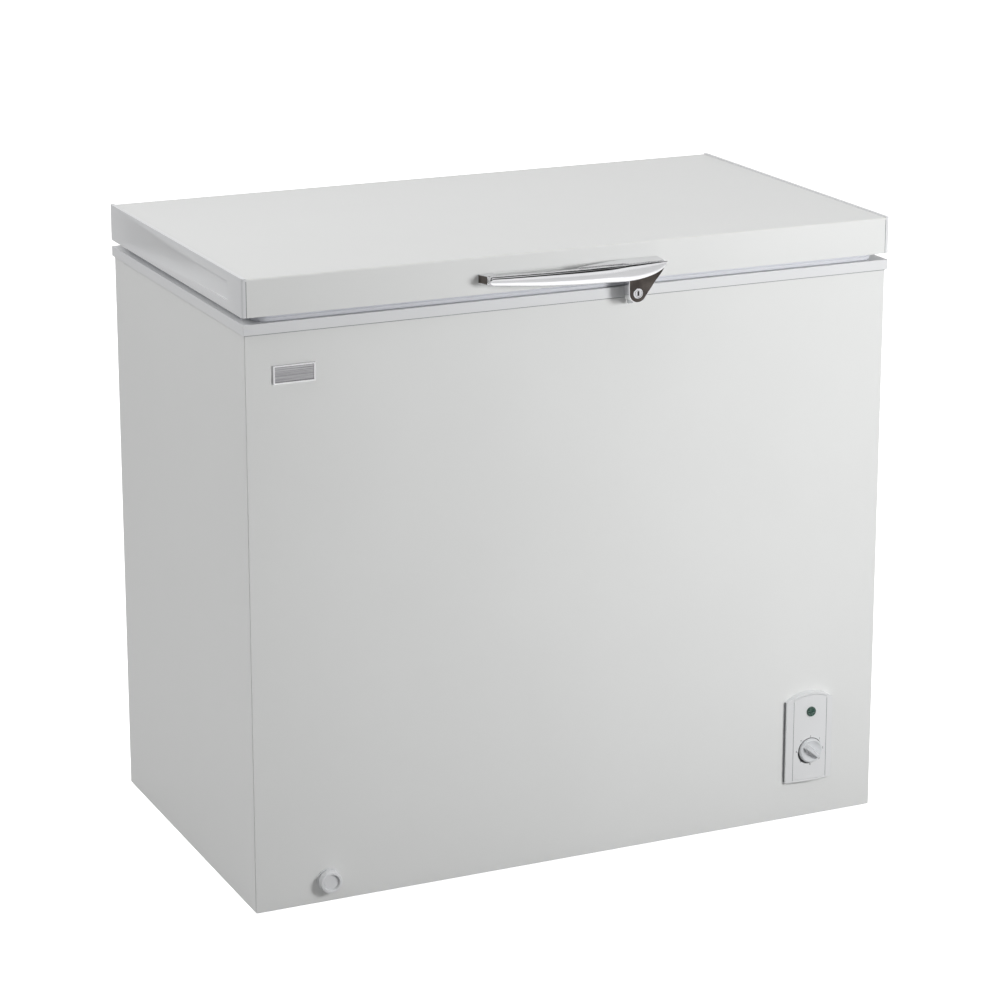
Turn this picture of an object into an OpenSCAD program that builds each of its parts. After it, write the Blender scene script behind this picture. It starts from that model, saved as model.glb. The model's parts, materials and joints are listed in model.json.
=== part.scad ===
// Chest freezer: foamed steel cabinet, hinged lid with a chromed lock handle, control panel,
// pull-out drain and a compressor bay at the lower right. Millimetres, +X right, -Y front, +Z up.

/* [Cabinet] */
// Width over the side panels
body_w = 937; // [780:1:1130]
// Depth over the front and back panels
body_d = 524; // [436:1:630]
// Height of the rim's top above the floor
rim_z = 807; // [672:1:970]
// Height of the feet
foot_h = 6; // [4:1:12]
// Thickness of the painted sheet steel
sheet = 0.8; // [0.6:0.1:1.2]
// Thickness of the insulated walls and floor
wall = 60; // [50:1:72]
// Open groove between the front panel and the side panels
seam = 1.5; // [1:0.5:3]

/* [Rim and tub] */
// How far the rim stands out past the panels
rim_over = 3; // [2:0.5:5]
// Height of the rim's outer skirt
rim_h = 14; // [10:1:20]
// Thickness of the tub's embossed aluminium sheet
liner_t = 1; // [0.8:0.1:1.5]
// Corner radius of the tub
tub_r = 30; // [20:1:45]
// Width of the compressor bay
bay_w = 225; // [215:1:260]
// Height of the compressor bay
bay_h = 262; // [250:1:300]

/* [Lid] */
// Height of the lid's edge
lid_h = 50; // [44:1:60]
// Gap between the rim and the lid, which the gasket fills
lid_gap = 9; // [8:0.5:12]
// How far the lid stands out past the side panels
lid_over = 4; // [3:0.5:6]
// Width of the plastic end caps
cap_w = 6; // [5:0.5:9]
// How far the end caps stand above the lid's skin
cap_proud = 1; // [0.5:0.5:2]
// Depth of the lid liner's plug
plug_h = 22; // [14:1:24]
// Opening angle of the lid
lid_open = 80; // [60:1:82]

/* [Handle and lock] */
// Left end of the handle
handle_left = -147; // [-190:1:-125]
// Right end of the handle
handle_right = 114; // [108:1:140]
// How far the handle stands out from the lid
handle_reach = 38; // [34:1:46]
// Sideways place of the lock barrel
lock_x = 71; // [66:1:76]
// Radius of the lock barrel
barrel_r = 7; // [5:0.5:8]

/* [Control panel] */
// From the cabinet's right side to the control panel's middle
panel_in = 104.5; // [96:0.5:118]
// Width of the control panel
panel_w = 74; // [70:1:88]
// Height of the control panel at its sides
panel_h = 120; // [112:1:140]
// Rise of the arched top edge
panel_arch = 12; // [6:1:16]
// Diameter of the thermostat knob
knob_d = 35; // [32:1:42]

/* [Drain] */
// From the cabinet's left side to the drain's middle
drain_in = 102.5; // [92:0.5:128]
// Height of the drain outlet
drain_z = 37; // [36:1:42]
// Diameter of the drain cap
drain_d = 31; // [30:1:36]

/* [Basket] */
// Width of the wire basket
basket_w = 230; // [180:1:260]
// Height of the wire basket
basket_h = 190; // [140:1:230]

/* [Hidden] */
$fn = 48;

// --- colours ---
white_paint = [0.90, 0.90, 0.89];
white_plastic = [0.88, 0.89, 0.90];
chrome = [0.80, 0.80, 0.82];
dark = [0.10, 0.10, 0.11];
copper = [0.72, 0.45, 0.30];
zinc = [0.62, 0.63, 0.64];
foam_yellow = [0.90, 0.84, 0.66];

// --- heights ---
pan_t = 1.5;                       // base pan and compressor base plate
rim_t = 3;                         // wall of the plastic rim
panel_top = rim_z - rim_t;         // top edge of the panels, the foam and the tub
floor_in = foot_h + pan_t;         // underside of the foam
tub_floor = foot_h + wall;         // inside floor of the tub
lid_z = rim_z + lid_gap;           // underside of the lid
bay_top = foot_h + bay_h;
step_z = bay_top + wall - 8;       // top of the step over the compressor bay

// --- plan sizes ---
lid_w = body_w + 2 * lid_over;
lid_d = body_d + 2 * rim_over;
foam_w = body_w - 4 * sheet;       // the front panel's flanges lie between the foam and the sides
foam_d = body_d - 2 * sheet;
tub_w = body_w - 2 * wall;         // inside of the tub
tub_d = body_d - 2 * wall;
bay_x = body_w / 2 - bay_w;        // left face of the compressor bay
step_x = bay_x - wall + 8;         // left face of the step in the tub
low_w = step_x + tub_w / 2;        // inside width of the tub's deep part
low_x = (step_x - tub_w / 2) / 2;  // middle of the tub's deep part
lip_t = 2.5;                       // rim lip that goes down inside the tub
lip_h = 28;
ledge_w = 8;                       // ledge that the basket hangs on
ledge_h = 4;
mouth_w = tub_w - 2 * lip_t;
mouth_d = tub_d - 2 * lip_t;
plug_gap = 14;                     // air between the lid's plug and the rim lip

// --- hinge ---
pin_r = 4;
running = 0.06;                    // radial clearance of the turning parts
axis_y = lid_d / 2 + 19;
axis_z = lid_z - 4;
hinge_x = 300;
channel_w = 48;
channel_t = 2;
channel_d = 33;                    // how far the channel stands out from the back panel
channel_low = rim_z - 167;
cam_p0 = 15.5;                       // cam lift below the pin with the lid closed
cam_base_r = 5;                    // pusher travel for each radian of lid travel
pusher_h = 18;
spring_seat = channel_low + 12;
spring_r = 8;
spring_wire = 1.6;
spring_turns = 9;
cover_t = 1.5;
cover_out = channel_d + cover_t;

// --- frame: the origin is the middle of the whole object's footprint ---
front_reach = lid_d / 2 + handle_reach;
back_reach = body_d / 2 + cover_out;
y_mid = (front_reach - back_reach) / 2;

// --- lock ---
lock_z = lid_z - 12.6;
housing_r = 13;
housing_gap = 13;                  // from the lid's front to the back of the lock housing
cam_t = 3;
cam_y = 5.5;                       // from the lid's front to the lock cam
lip_gap = 1;                       // from the turned cam to the keeper's lip
cam_half = 3.5;

// --- control panel ---
panel_x = body_w / 2 - panel_in;
panel_low = foot_h + 56;
panel_bulge = 4.5;                   // how far its middle stands past its edges
panel_edge = 6;                    // thickness at its sides
plate_w = 53;
plate_gap = 0.4;
knob_z = panel_low + 46;
lamp_z = panel_low + 104;
lamp_r = 7.2;
shaft_r = 3;

// --- drain ---
drain_x = drain_in - body_w / 2;
spout_r = 10;
drain_bore = spout_r + 0.1;
drain_tube_r = drain_bore + 2;
sump_y = -tub_d / 2 + 45;          // drain hole in the tub's floor
cap_depth = 12;

// --- shared shapes ---
function arc(cx, cy, r, a0, a1, n = 6) =
    [for (i = [0:n]) let (a = a0 + (a1 - a0) * i / n) [cx + r * cos(a), cy + r * sin(a)]];

function rounded(w, d, r, n = 6) = concat(
    arc(w / 2 - r, d / 2 - r, r, 0, 90, n), arc(-w / 2 + r, d / 2 - r, r, 90, 180, n),
    arc(-w / 2 + r, -d / 2 + r, r, 180, 270, n), arc(w / 2 - r, -d / 2 + r, r, 270, 360, n));

function unit(v) = v / norm(v);

function tangents(p) =
    [for (i = [0:len(p) - 1]) unit(p[min(i + 1, len(p) - 1)] - p[max(i - 1, 0)])];

function carried(t, n, i = 0) =
    i == len(t) ? [] : let (m = unit(n - (n * t[i]) * t[i])) concat([m], carried(t, m, i + 1));

// Points on a smooth curve through the given ones
function smooth(p, n = 4) = concat(
    [for (i = [0:len(p) - 2], k = [0:n - 1])
        let (a = p[max(i - 1, 0)], b = p[i], c = p[i + 1], d = p[min(i + 2, len(p) - 1)], t = k / n)
        0.5 * (2 * b + (c - a) * t + (2 * a - 5 * b + 4 * c - d) * t * t
            + (3 * b - a - 3 * c + d) * t * t * t)],
    [p[len(p) - 1]]);

// Closed skin over rings of points, each ring with the same number of points
module skin(rings) {
    n = len(rings[0]);
    m = len(rings);
    polyhedron(
        points = [for (ring = rings) for (p = ring) p],
        faces = concat(
            [[for (k = [n - 1:-1:0]) k]],
            [for (i = [0:m - 2], k = [0:n - 1])
                [i * n + k, i * n + (k + 1) % n, (i + 1) * n + (k + 1) % n, (i + 1) * n + k]],
            [[for (k = [0:n - 1]) (m - 1) * n + k]]));
}

// Round tube along a path
module pipe(path, r, sides = 8) {
    t = tangents(path);
    m = carried(t, abs(t[0][2]) < 0.9 ? [0, 0, 1] : [1, 0, 0]);
    skin([for (i = [0:len(path) - 1])
        [for (k = [0:sides - 1])
            let (a = -360 * k / sides) path[i] + r * (cos(a) * m[i] - sin(a) * cross(m[i], t[i]))]]);
}

module box(lo, hi) {
    translate(lo) cube(hi - lo);
}

// A cylinder along Y, from y0 to y1
module rod_y(x, z, r, y0, y1) {
    translate([x, y1, z]) rotate([90, 0, 0]) cylinder(r = r, h = y1 - y0);
}

// A cylinder along X, from x0 to x1
module rod_x(y, z, r, x0, x1) {
    translate([x0, y, z]) rotate([0, 90, 0]) cylinder(r = r, h = x1 - x0);
}

// An outline in X and Z, from y0 to y1
module slab_y(y0, y1) {
    translate([0, y1, 0]) rotate([90, 0, 0]) linear_extrude(y1 - y0) children();
}

// An outline in Y and Z, from x0 to x1
module slab_x(x0, x1) {
    translate([x0, 0, 0]) rotate([90, 0, 90]) linear_extrude(x1 - x0) children();
}

// --- cabinet shell ---
front_y = -body_d / 2;
back_y = body_d / 2;
flange = 12;

module front_panel() {
    color(white_paint) difference() {
        union() {
            box([-body_w / 2, front_y, foot_h], [body_w / 2, front_y + sheet, panel_top]);
            for (s = [-1, 1]) translate([s * (body_w / 2 - 1.5 * sheet), 0, 0])
                box([-sheet / 2, front_y + sheet, foot_h],
                    [sheet / 2, front_y + sheet + flange, panel_top]);
        }
        rod_y(drain_x, drain_z, drain_tube_r + 0.05, front_y - 1, front_y + 2);
        box([panel_x - 24, front_y - 1, panel_low + 14],
            [panel_x + 24, front_y + 2, panel_low + panel_h - 8]);
    }
}

module side_panel(s) {
    outer = s * body_w / 2;
    inner = s * (body_w / 2 - sheet);
    box([min(outer, inner), front_y + sheet + seam, foot_h],
        [max(outer, inner), back_y - sheet, panel_top]);
}

module left_side_panel() {
    color(white_paint) side_panel(-1);
}

grille_y = [-50, 190];
grille_z = [foot_h + 36, foot_h + 216];

module right_side_panel() {
    color(white_paint) difference() {
        side_panel(1);
        box([body_w / 2 - 5, grille_y[0], grille_z[0]], [body_w / 2 + 5, grille_y[1], grille_z[1]]);
    }
}

cover_x = [bay_x + 28, body_w / 2 - 14];
rear_z = [foot_h + 14, foot_h + bay_h - 14];
rear_lap = 8;

module back_panel() {
    color(white_paint) difference() {
        box([-body_w / 2, back_y - sheet, foot_h], [body_w / 2, back_y, panel_top]);
        box([cover_x[0] + rear_lap, back_y - 2, rear_z[0] + rear_lap],
            [cover_x[1] - rear_lap, back_y + 1, rear_z[1] - rear_lap]);
    }
}

module base_pan() {
    color(zinc) box([-foam_w / 2, -foam_d / 2, foot_h], [bay_x - 0.5, foam_d / 2, floor_in]);
}

foot_x = body_w / 2 - 48;
foot_y = body_d / 2 - 48;

module feet() {
    color(dark) for (sx = [-1, 1], sy = [-1, 1]) translate([sx * foot_x, sy * foot_y, 0]) {
        cylinder(r = 20, h = foot_h);
    }
}

// --- tub, foam and refrigerant coils ---
module tub(grow) {
    translate([0, 0, step_z - grow]) linear_extrude(panel_top - step_z + grow)
        polygon(rounded(tub_w + 2 * grow, tub_d + 2 * grow, tub_r + grow));
    translate([low_x, 0, tub_floor - grow]) linear_extrude(step_z - tub_floor + grow)
        polygon(rounded(low_w + 2 * grow, tub_d + 2 * grow, tub_r + grow));
}

module inner_liner() {
    color(zinc) difference() {
        tub(liner_t);
        tub(0);
        box([-tub_w / 2 + tub_r, -tub_d / 2 + tub_r, panel_top - 1],
            [tub_w / 2 - tub_r, tub_d / 2 - tub_r, panel_top + 1]);
        translate([drain_x, sump_y, tub_floor - 5]) cylinder(r = drain_bore, h = 10);
    }
}

coil_x = -100;
coil_gap = 24;

// Flat loops joined end to end at the back: a serpentine wrapped round a rounded box
module coil(loops, t) {
    for (i = [0:len(loops) - 1]) {
        loop = loops[i];  // middle x, width inside, depth inside, radius inside, height
        difference() {
            translate([loop[0], 0, loop[4]]) linear_extrude(t)
                polygon(
                    points = concat(rounded(loop[1] + 2 * t, loop[2] + 2 * t, loop[3] + t),
                        rounded(loop[1], loop[2], loop[3])),
                    paths = [[for (k = [0:27]) k], [for (k = [28:55]) k]]);
            box([coil_x - coil_gap / 2, 0, loop[4] - 1],
                [coil_x + coil_gap / 2, loop[2], loop[4] + t + 1]);
        }
        if (i > 0) {
            x = coil_x + (i % 2 == 0 ? 1 : -1) * (coil_gap + t) / 2;
            box([x - t / 2, loop[2] / 2, loops[i - 1][4]], [x + t / 2, loop[2] / 2 + t, loop[4] + t]);
        }
    }
}

evaporator_t = 8;
evaporator_pitch = (panel_top - 60 - step_z) / 5;
deep_pitch = (step_z - tub_floor - 60) / 2;
evaporator_loops = concat(
    [for (i = [0:2]) [low_x, low_w + 2 * liner_t, tub_d + 2 * liner_t, tub_r + liner_t,
        tub_floor + 24 + i * deep_pitch]],
    [for (i = [0:5]) [0, tub_w + 2 * liner_t, tub_d + 2 * liner_t, tub_r + liner_t,
        step_z + 20 + i * evaporator_pitch]]);

module evaporator_tube() {
    color(zinc) coil(evaporator_loops, evaporator_t);
}

condenser_t = 5;
condenser_loops = [for (i = [0:4])
    [0, foam_w - 2 * condenser_t, foam_d - 2 * condenser_t, 12, step_z + 40 + i * 90]];

module condenser_tube() {
    color(copper) coil(condenser_loops, condenser_t);
}

module bay_sheet() {
    color(zinc) difference() {
        box([bay_x, -foam_d / 2, floor_in], [foam_w / 2, foam_d / 2, bay_top]);
        box([bay_x + sheet, -foam_d, 0], [body_w, foam_d, bay_top - sheet]);
    }
}

module drain_bore_space(r) {
    rod_y(drain_x, drain_z, r, front_y, sump_y);
    translate([drain_x, sump_y, drain_z]) sphere(r = r);
    translate([drain_x, sump_y, drain_z]) cylinder(r = r, h = tub_floor - liner_t - drain_z);
}

module foam_body() {
    color(foam_yellow) difference() {
        box([-foam_w / 2, -foam_d / 2, floor_in], [foam_w / 2, foam_d / 2, panel_top]);
        tub(liner_t);
        box([bay_x, -body_d, 0], [body_w, body_d, bay_top]);
        coil(evaporator_loops, evaporator_t);
        coil(condenser_loops, condenser_t);
        drain_bore_space(drain_tube_r);
    }
}

module rim_frame() {
    color(white_plastic) difference() {
        union() {
            box([-body_w / 2 - rim_over, -body_d / 2 - rim_over, rim_z - rim_h],
                [body_w / 2 + rim_over, body_d / 2 + rim_over, rim_z]);
            translate([0, 0, panel_top - lip_h]) linear_extrude(lip_h)
                polygon(rounded(tub_w, tub_d, tub_r));
        }
        difference() {
            box([-body_w / 2, -body_d / 2, 0], [body_w / 2, body_d / 2, panel_top]);
            linear_extrude(rim_z) polygon(rounded(tub_w, tub_d, tub_r));
        }
        translate([0, 0, panel_top - lip_h + ledge_h]) linear_extrude(rim_z)
            polygon(rounded(mouth_w, mouth_d, tub_r - lip_t));
        translate([0, 0, panel_top - lip_h - 1]) linear_extrude(rim_z)
            polygon(rounded(mouth_w, mouth_d - 2 * ledge_w, tub_r - lip_t - ledge_w));
    }
}

// --- compressor bay ---
comp_x = bay_x + bay_w / 2 - 2;
comp_y = 70;
comp_r = 74;
comp_h = 172;
grommet_h = 14;
comp_z = floor_in + grommet_h;
comp_plate_t = 3;
comp_hole_x = 80;
comp_hole_y = 62;

module at_grommets() {
    for (sx = [-1, 1], sy = [-1, 1])
        translate([comp_x + sx * comp_hole_x, comp_y + sy * comp_hole_y, 0]) children();
}

module compressor_base() {
    color(zinc) difference() {
        box([bay_x, -foam_d / 2, foot_h], [foam_w / 2, foam_d / 2, floor_in]);
        at_grommets() cylinder(r = 3, h = 60);
    }
}

function dome(r, h, n = 10) = [for (i = [0:n]) [r * cos(90 * i / n), h * sin(90 * i / n)]];

module compressor() {
    color(dark) {
        difference() {
            translate([comp_x, comp_y, comp_z]) linear_extrude(comp_plate_t)
                polygon(rounded(2 * comp_hole_x + 30, 2 * comp_hole_y + 30, 14));
            at_grommets() cylinder(r = 6.02, h = 60);
        }
        translate([comp_x, comp_y, comp_z + comp_plate_t]) rotate_extrude()
            polygon(concat([[0, 0], [comp_r - 12, 0], [comp_r, 12]],
                [for (p = dome(comp_r, 62)) p + [0, comp_h - 62 - comp_plate_t]]));
    }
}

module compressor_grommets() {
    color([0.15, 0.15, 0.15]) at_grommets() difference() {
        union() {
            translate([0, 0, floor_in]) cylinder(r = 11, h = grommet_h);
            translate([0, 0, comp_z]) cylinder(r = 6, h = comp_plate_t);
            translate([0, 0, comp_z + comp_plate_t]) cylinder(r = 10, h = 3);
        }
        translate([0, 0, floor_in - 1]) cylinder(r = 3, h = 40);
    }
}

module compressor_bolts() {
    color(zinc) at_grommets() {
        translate([0, 0, foot_h]) cylinder(r = 3, h = comp_z + comp_plate_t + 3 - foot_h);
        translate([0, 0, comp_z + comp_plate_t + 3]) cylinder(r = 6.5, h = 4.5, $fn = 6);
    }
}

relay_z = comp_z + 46;

module relay_cover() {
    color(dark) difference() {
        box([comp_x - 32, comp_y - comp_r - 26, relay_z], [comp_x + 26, comp_y - 50, relay_z + 62]);
        translate([comp_x, comp_y, 0]) cylinder(r = comp_r + 0.03, h = 400);
    }
}

drier_y = -66;
drier_x = bay_x + 34;

// Drier can hanging from the bay's ceiling, with its thin outlet tube curling back up
module filter_drier() {
    low = bay_top - 128;
    color(copper) {
        translate([drier_x, drier_y, bay_top - 60]) rotate_extrude()
            polygon([[0, -68], [3, -68], [3, -58], [9, -50], [9, 30], [3, 38], [3, 60 - sheet],
                [0, 60 - sheet]]);
        pipe(smooth([[drier_x, drier_y, low + 4], [drier_x, drier_y, low - 8],
            [drier_x, drier_y + 14, low - 22], [drier_x, drier_y + 28, low - 8],
            [drier_x, drier_y + 28, bay_top - 40], [drier_x, drier_y + 28, bay_top - sheet - 0.1]]), 1.6, 6);
    }
}

module discharge_line() {
    color(copper) pipe(smooth([
        [comp_x + 50.1, comp_y - 55.9, comp_z + 70], [comp_x + 60, comp_y - 86, comp_z + 72],
        [comp_x + 64, comp_y - 110, comp_z + 110], [comp_x + 40, comp_y - 128, comp_z + 180],
        [comp_x + 4, comp_y - 132, bay_top - 46], [comp_x, comp_y - 132, bay_top - 22],
        [comp_x, comp_y - 132, bay_top - sheet - 0.2]]), 2.5);
}

module suction_line() {
    color(copper) pipe(smooth([
        [comp_x - 66.6, comp_y + 34.3, comp_z + 80], [comp_x - 92, comp_y + 46, comp_z + 82],
        [comp_x - 98, comp_y + 60, comp_z + 130], [comp_x - 84, comp_y + 84, comp_z + 190],
        [comp_x - 58, comp_y + 102, bay_top - 30], [comp_x - 58, comp_y + 102, bay_top - 14],
        [comp_x - 58, comp_y + 102, bay_top - sheet - 0.2]
        ]), 4);
}

thermostat_back = front_y + 40;

module wiring_harness() {
    color([0.85, 0.85, 0.86]) pipe(smooth([
        [panel_x - 6, thermostat_back + 0.5, knob_z + 4], [panel_x - 8, thermostat_back + 24, knob_z],
        [panel_x - 20, -140, knob_z - 30], [comp_x - 14, -98, relay_z - 4],
        [comp_x - 6, comp_y - comp_r - 52, relay_z + 24],
        [comp_x - 4, comp_y - comp_r - 26.2, relay_z + 26]]), 3.5);
}

module side_grille() {
    y0 = grille_y[0];
    y1 = grille_y[1];
    slats = 11;
    pitch = (grille_z[1] - grille_z[0] - 8) / slats;
    color(white_plastic) difference() {
        union() {
            box([body_w / 2, y0 - 8, grille_z[0] - 8], [body_w / 2 + 2.5, y1 + 8, grille_z[1] + 8]);
            box([body_w / 2 - 5, y0 + 0.3, grille_z[0] + 0.3],
                [body_w / 2, y1 - 0.3, grille_z[1] - 0.3]);
        }
        for (i = [0:slats - 1]) translate([body_w / 2 - 10, 0, grille_z[0] + 6 + i * pitch])
            for (side = [0, 1]) translate([0, y0 + 8 + side * (y1 - y0 - 8) / 2, 0])
                cube([20, (y1 - y0) / 2 - 12, pitch - 5]);
    }
}

rear_t = 1.2;

module rear_cover() {
    x0 = cover_x[0];
    x1 = cover_x[1];
    color(zinc) difference() {
        box([x0, back_y, rear_z[0]], [x1, back_y + rear_t, rear_z[1]]);
        for (i = [0:8], c = [0, 1]) translate([x0 + 24 + c * 78, back_y - 1, rear_z[0] + 86 + i * 15])
            cube([62, 5, 6]);
        at_rear_screws() rod_y(0, 0, screw_r + 0.1, back_y - 1, back_y + 5);
        rod_y(inlet_x, inlet_z, inlet_r + 0.03, back_y - 1, back_y + 5);
    }
}

inlet_x = cover_x[0] + 34;
inlet_z = rear_z[0] + 44;
inlet_r = 10;
cord_r = 4;

screw_r = 2;

module at_rear_screws() {
    for (x = [cover_x[0] + 4.5, cover_x[1] - 4.5], z = [rear_z[0] + 8, rear_z[1] - 8])
        translate([x, 0, z]) children();
}

// Screw along Y: its shank fills a plate of the given thickness, its head sits outside
module screw_y(y0, thick) {
    rod_y(0, 0, screw_r, y0, y0 + thick);
    rod_y(0, 0, 3.8, y0 + thick, y0 + thick + 2.2);
}

module rear_screws() {
    color(zinc) {
        at_rear_screws() screw_y(back_y, rear_t);
        at_hinges() at_bracket_screws() screw_y(back_y, channel_t);
    }
}

// Gland that the mains cord goes through
module cord_inlet() {
    color(dark) translate([inlet_x, back_y, inlet_z]) rotate([-90, 0, 0]) difference() {
        union() {
            translate([0, 0, -14]) cylinder(r = inlet_r, h = 14 + rear_t);
            translate([0, 0, rear_t]) cylinder(r = 14, h = 4);
            translate([0, 0, rear_t + 4]) cylinder(r1 = 9, r2 = 7, h = 10);
        }
        translate([0, 0, -20]) cylinder(r = cord_r, h = 60);
    }
}

// --- control panel ---
bulge_r = ((panel_w / 2) * (panel_w / 2) + panel_bulge * panel_bulge) / (2 * panel_bulge);
bulge_y = front_y - panel_edge - panel_bulge + bulge_r;

// Outline with an arched top; the width and the edges taken off it are given
module panel_outline(w, low, high) {
    arch_r = (panel_w * panel_w / 4 + panel_arch * panel_arch) / (2 * panel_arch);
    intersection() {
        translate([panel_x - w / 2, panel_low + low])
            square([w, panel_h + panel_arch - low + 1]);
        union() {
            translate([panel_x, panel_low + panel_h + panel_arch - arch_r]) circle(r = arch_r - high);
            translate([panel_x - w, panel_low]) square([2 * w, panel_h + panel_arch - arch_r]);
        }
    }
}

// What lies behind the panel's curved face, set back by a depth
module behind_face(back) {
    translate([panel_x, bulge_y, 0]) cylinder(r = bulge_r - back, h = 400);
}

module bulged(w, low, high, y1) {
    intersection() {
        slab_y(front_y - 30, y1) panel_outline(w, low, high);
        behind_face(0);
    }
}

plate_low = 2.5;
plate_t = 2.5;

module control_bezel() {
    color(white_plastic) difference() {
        bulged(panel_w, 0, 0, front_y);
        intersection() {
            slab_y(front_y - 30, front_y + 5) panel_outline(panel_w - 5, 3.5, 3.5);
            behind_face(2.5);
        }
        slab_y(front_y - 30, front_y + 5) panel_outline(plate_w, plate_low, 3);
    }
}

module control_plate() {
    color(white_plastic) difference() {
        intersection() {
            bulged(plate_w - 2 * plate_gap, plate_low + plate_gap, 3 + plate_gap, front_y);
            difference() {
                behind_face(0);
                behind_face(plate_t);
            }
        }
        rod_y(panel_x, knob_z, shaft_r + 0.1, front_y - 40, front_y + 40);
        rod_y(panel_x, lamp_z, lamp_r + 0.05, front_y - 40, front_y + 40);
    }
}

face_y = front_y - panel_edge - panel_bulge;
lamp_back = face_y + 6;

module lamp_lens() {
    color([0.05, 0.35, 0.25]) {
        rod_y(panel_x, lamp_z, lamp_r, face_y - 1, lamp_back);
        translate([panel_x, face_y - 1, lamp_z]) rotate([90, 0, 0])
            rotate_extrude() polygon(dome_profile(lamp_r, 1.8));
    }
}

function dome_profile(r, h, n = 8) = concat([[0, 0]], dome(r, h, n));

module lamp_body() {
    color(dark) rod_y(panel_x, lamp_z, 6, lamp_back, lamp_back + 24);
}

thermostat_face = front_y - 2;

// Switch body on a strap that bears on the back of the front panel
module thermostat_body() {
    color(zinc) difference() {
        union() {
            box([panel_x - 20, thermostat_face, knob_z - 22],
                [panel_x + 20, thermostat_back, knob_z + 22]);
            box([panel_x - 33, front_y + sheet, knob_z - 12],
                [panel_x + 33, front_y + sheet + 1.5, knob_z + 12]);
        }
        rod_y(panel_x, knob_z, shaft_r + 0.1, thermostat_face - 1, thermostat_face + 18);
    }
}

knob_flange_t = 4;
knob_y = face_y - 0.6;
grip_h = 7;

module thermostat_shaft() {
    color(zinc) rod_y(panel_x, knob_z, shaft_r, knob_y - 9, thermostat_face + 17);
}

knob_angle = 140;

module thermostat_knob() {
    color(white_plastic) difference() {
        translate([panel_x, knob_y, knob_z]) rotate([90, 0, 0]) {
            rotate_extrude() polygon([[0, 0], [knob_d / 2, 0], [knob_d / 2, knob_flange_t - 1.5],
                [knob_d / 2 - 1.5, knob_flange_t], [0, knob_flange_t]]);
            rotate([0, 0, knob_angle]) linear_extrude(knob_flange_t + grip_h)
                polygon(rounded(knob_d - 5, 9, 3));
        }
        rod_y(panel_x, knob_z, shaft_r + 0.02, knob_y - 9, knob_y + 5);
    }
}

// --- drain ---
module drain_tube() {
    color(white_plastic) difference() {
        drain_bore_space(drain_tube_r);
        rod_y(drain_x, drain_z, drain_bore, front_y - 1, sump_y);
        translate([drain_x, sump_y, drain_z]) sphere(r = drain_bore);
        translate([drain_x, sump_y, drain_z]) cylinder(r = drain_bore, h = 60);
    }
}

module drain_plug() {
    color(dark) translate([drain_x, sump_y, tub_floor]) {
        translate([0, 0, -12]) cylinder(r1 = drain_bore - 1, r2 = drain_bore - 0.2, h = 12);
        cylinder(r = 15, h = 3);
        translate([0, 0, 3]) cylinder(r = 4, h = 8);
    }
}

spout_back = front_y + 70;

module drain_spout() {
    color(white_plastic) difference() {
        union() {
            rod_y(drain_x, drain_z, spout_r, front_y - 4, spout_back);
            rod_y(drain_x, drain_z, drain_d / 2 + 1, front_y - 2.2, front_y - 0.4);
        }
        rod_y(drain_x, drain_z, spout_r - 2, front_y - 10, spout_back + 1);
    }
}

module drain_cap() {
    color(white_plastic) difference() {
        rod_y(drain_x, drain_z, drain_d / 2, front_y - 2.6 - cap_depth, front_y - 2.6);
        rod_y(drain_x, drain_z, 9, front_y - 5 - cap_depth, front_y - cap_depth);
        rod_y(drain_x, drain_z, spout_r + 0.3, front_y - cap_depth + 2, front_y);
        for (i = [0:11]) translate([drain_x, 0, drain_z]) rotate([0, 30 * i, 0])
            rod_y(0, drain_d / 2 + 1, 2, front_y - 30, front_y - 6);
    }
}

// --- badge: a blank plate in a bright frame ---
badge_w = 58;
badge_h = 25;
badge_x = -body_w / 2 + 65.5;
badge_z = rim_z - 69;
badge_rim = 2.5;

module badge_frame() {
    color(chrome) difference() {
        box([badge_x - badge_w / 2, front_y - 3, badge_z - badge_h / 2],
            [badge_x + badge_w / 2, front_y, badge_z + badge_h / 2]);
        box([badge_x - badge_w / 2 + badge_rim, front_y - 4, badge_z - badge_h / 2 + badge_rim],
            [badge_x + badge_w / 2 - badge_rim, front_y + 1, badge_z + badge_h / 2 - badge_rim]);
    }
}

module badge_plate() {
    color(zinc) box([badge_x - badge_w / 2 + badge_rim, front_y - 1.8, badge_z - badge_h / 2 + badge_rim],
        [badge_x + badge_w / 2 - badge_rim, front_y, badge_z + badge_h / 2 - badge_rim]);
}

// --- hinges ---
module at_hinges() {
    for (s = [-1, 1]) translate([s * hinge_x, 0, 0]) children();
}

module channel_side() {
    polygon([[back_y, channel_low], [back_y + channel_d, channel_low],
        [back_y + channel_d, axis_z - 14], [axis_y + 10, axis_z], [axis_y - 10, axis_z],
        [axis_y - 10, rim_z - rim_h - 8], [back_y, rim_z - rim_h - 14]]);
    translate([axis_y, axis_z]) circle(r = 10);
}

module at_bracket_screws() {
    for (s = [-1, 1], z = [channel_low + 20, rim_z - rim_h - 36])
        translate([s * (channel_w / 2 + 7), 0, z]) children();
}

module at_leaf_screws() {
    for (s = [-1, 1], z = [lid_z + 27, lid_z + 38]) translate([s * 11, 0, z]) children();
}

module hinge_brackets() {
    half = channel_w / 2;
    color(zinc) at_hinges() difference() {
        union() {
            for (s = [-1, 1]) translate([s * (half - channel_t / 2), 0, 0])
                slab_x(-channel_t / 2, channel_t / 2) channel_side();
            box([-half - 14, back_y, channel_low], [half + 14, back_y + channel_t, rim_z - rim_h - 16]);
            box([-half, back_y, spring_seat - 3], [half, back_y + channel_d, spring_seat]);
        }
        rod_x(axis_y, axis_z, pin_r + 0.02, -half - 1, half + 1);
        at_bracket_screws() rod_y(0, 0, screw_r + 0.1, back_y - 1, back_y + 5);
    }
}

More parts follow.
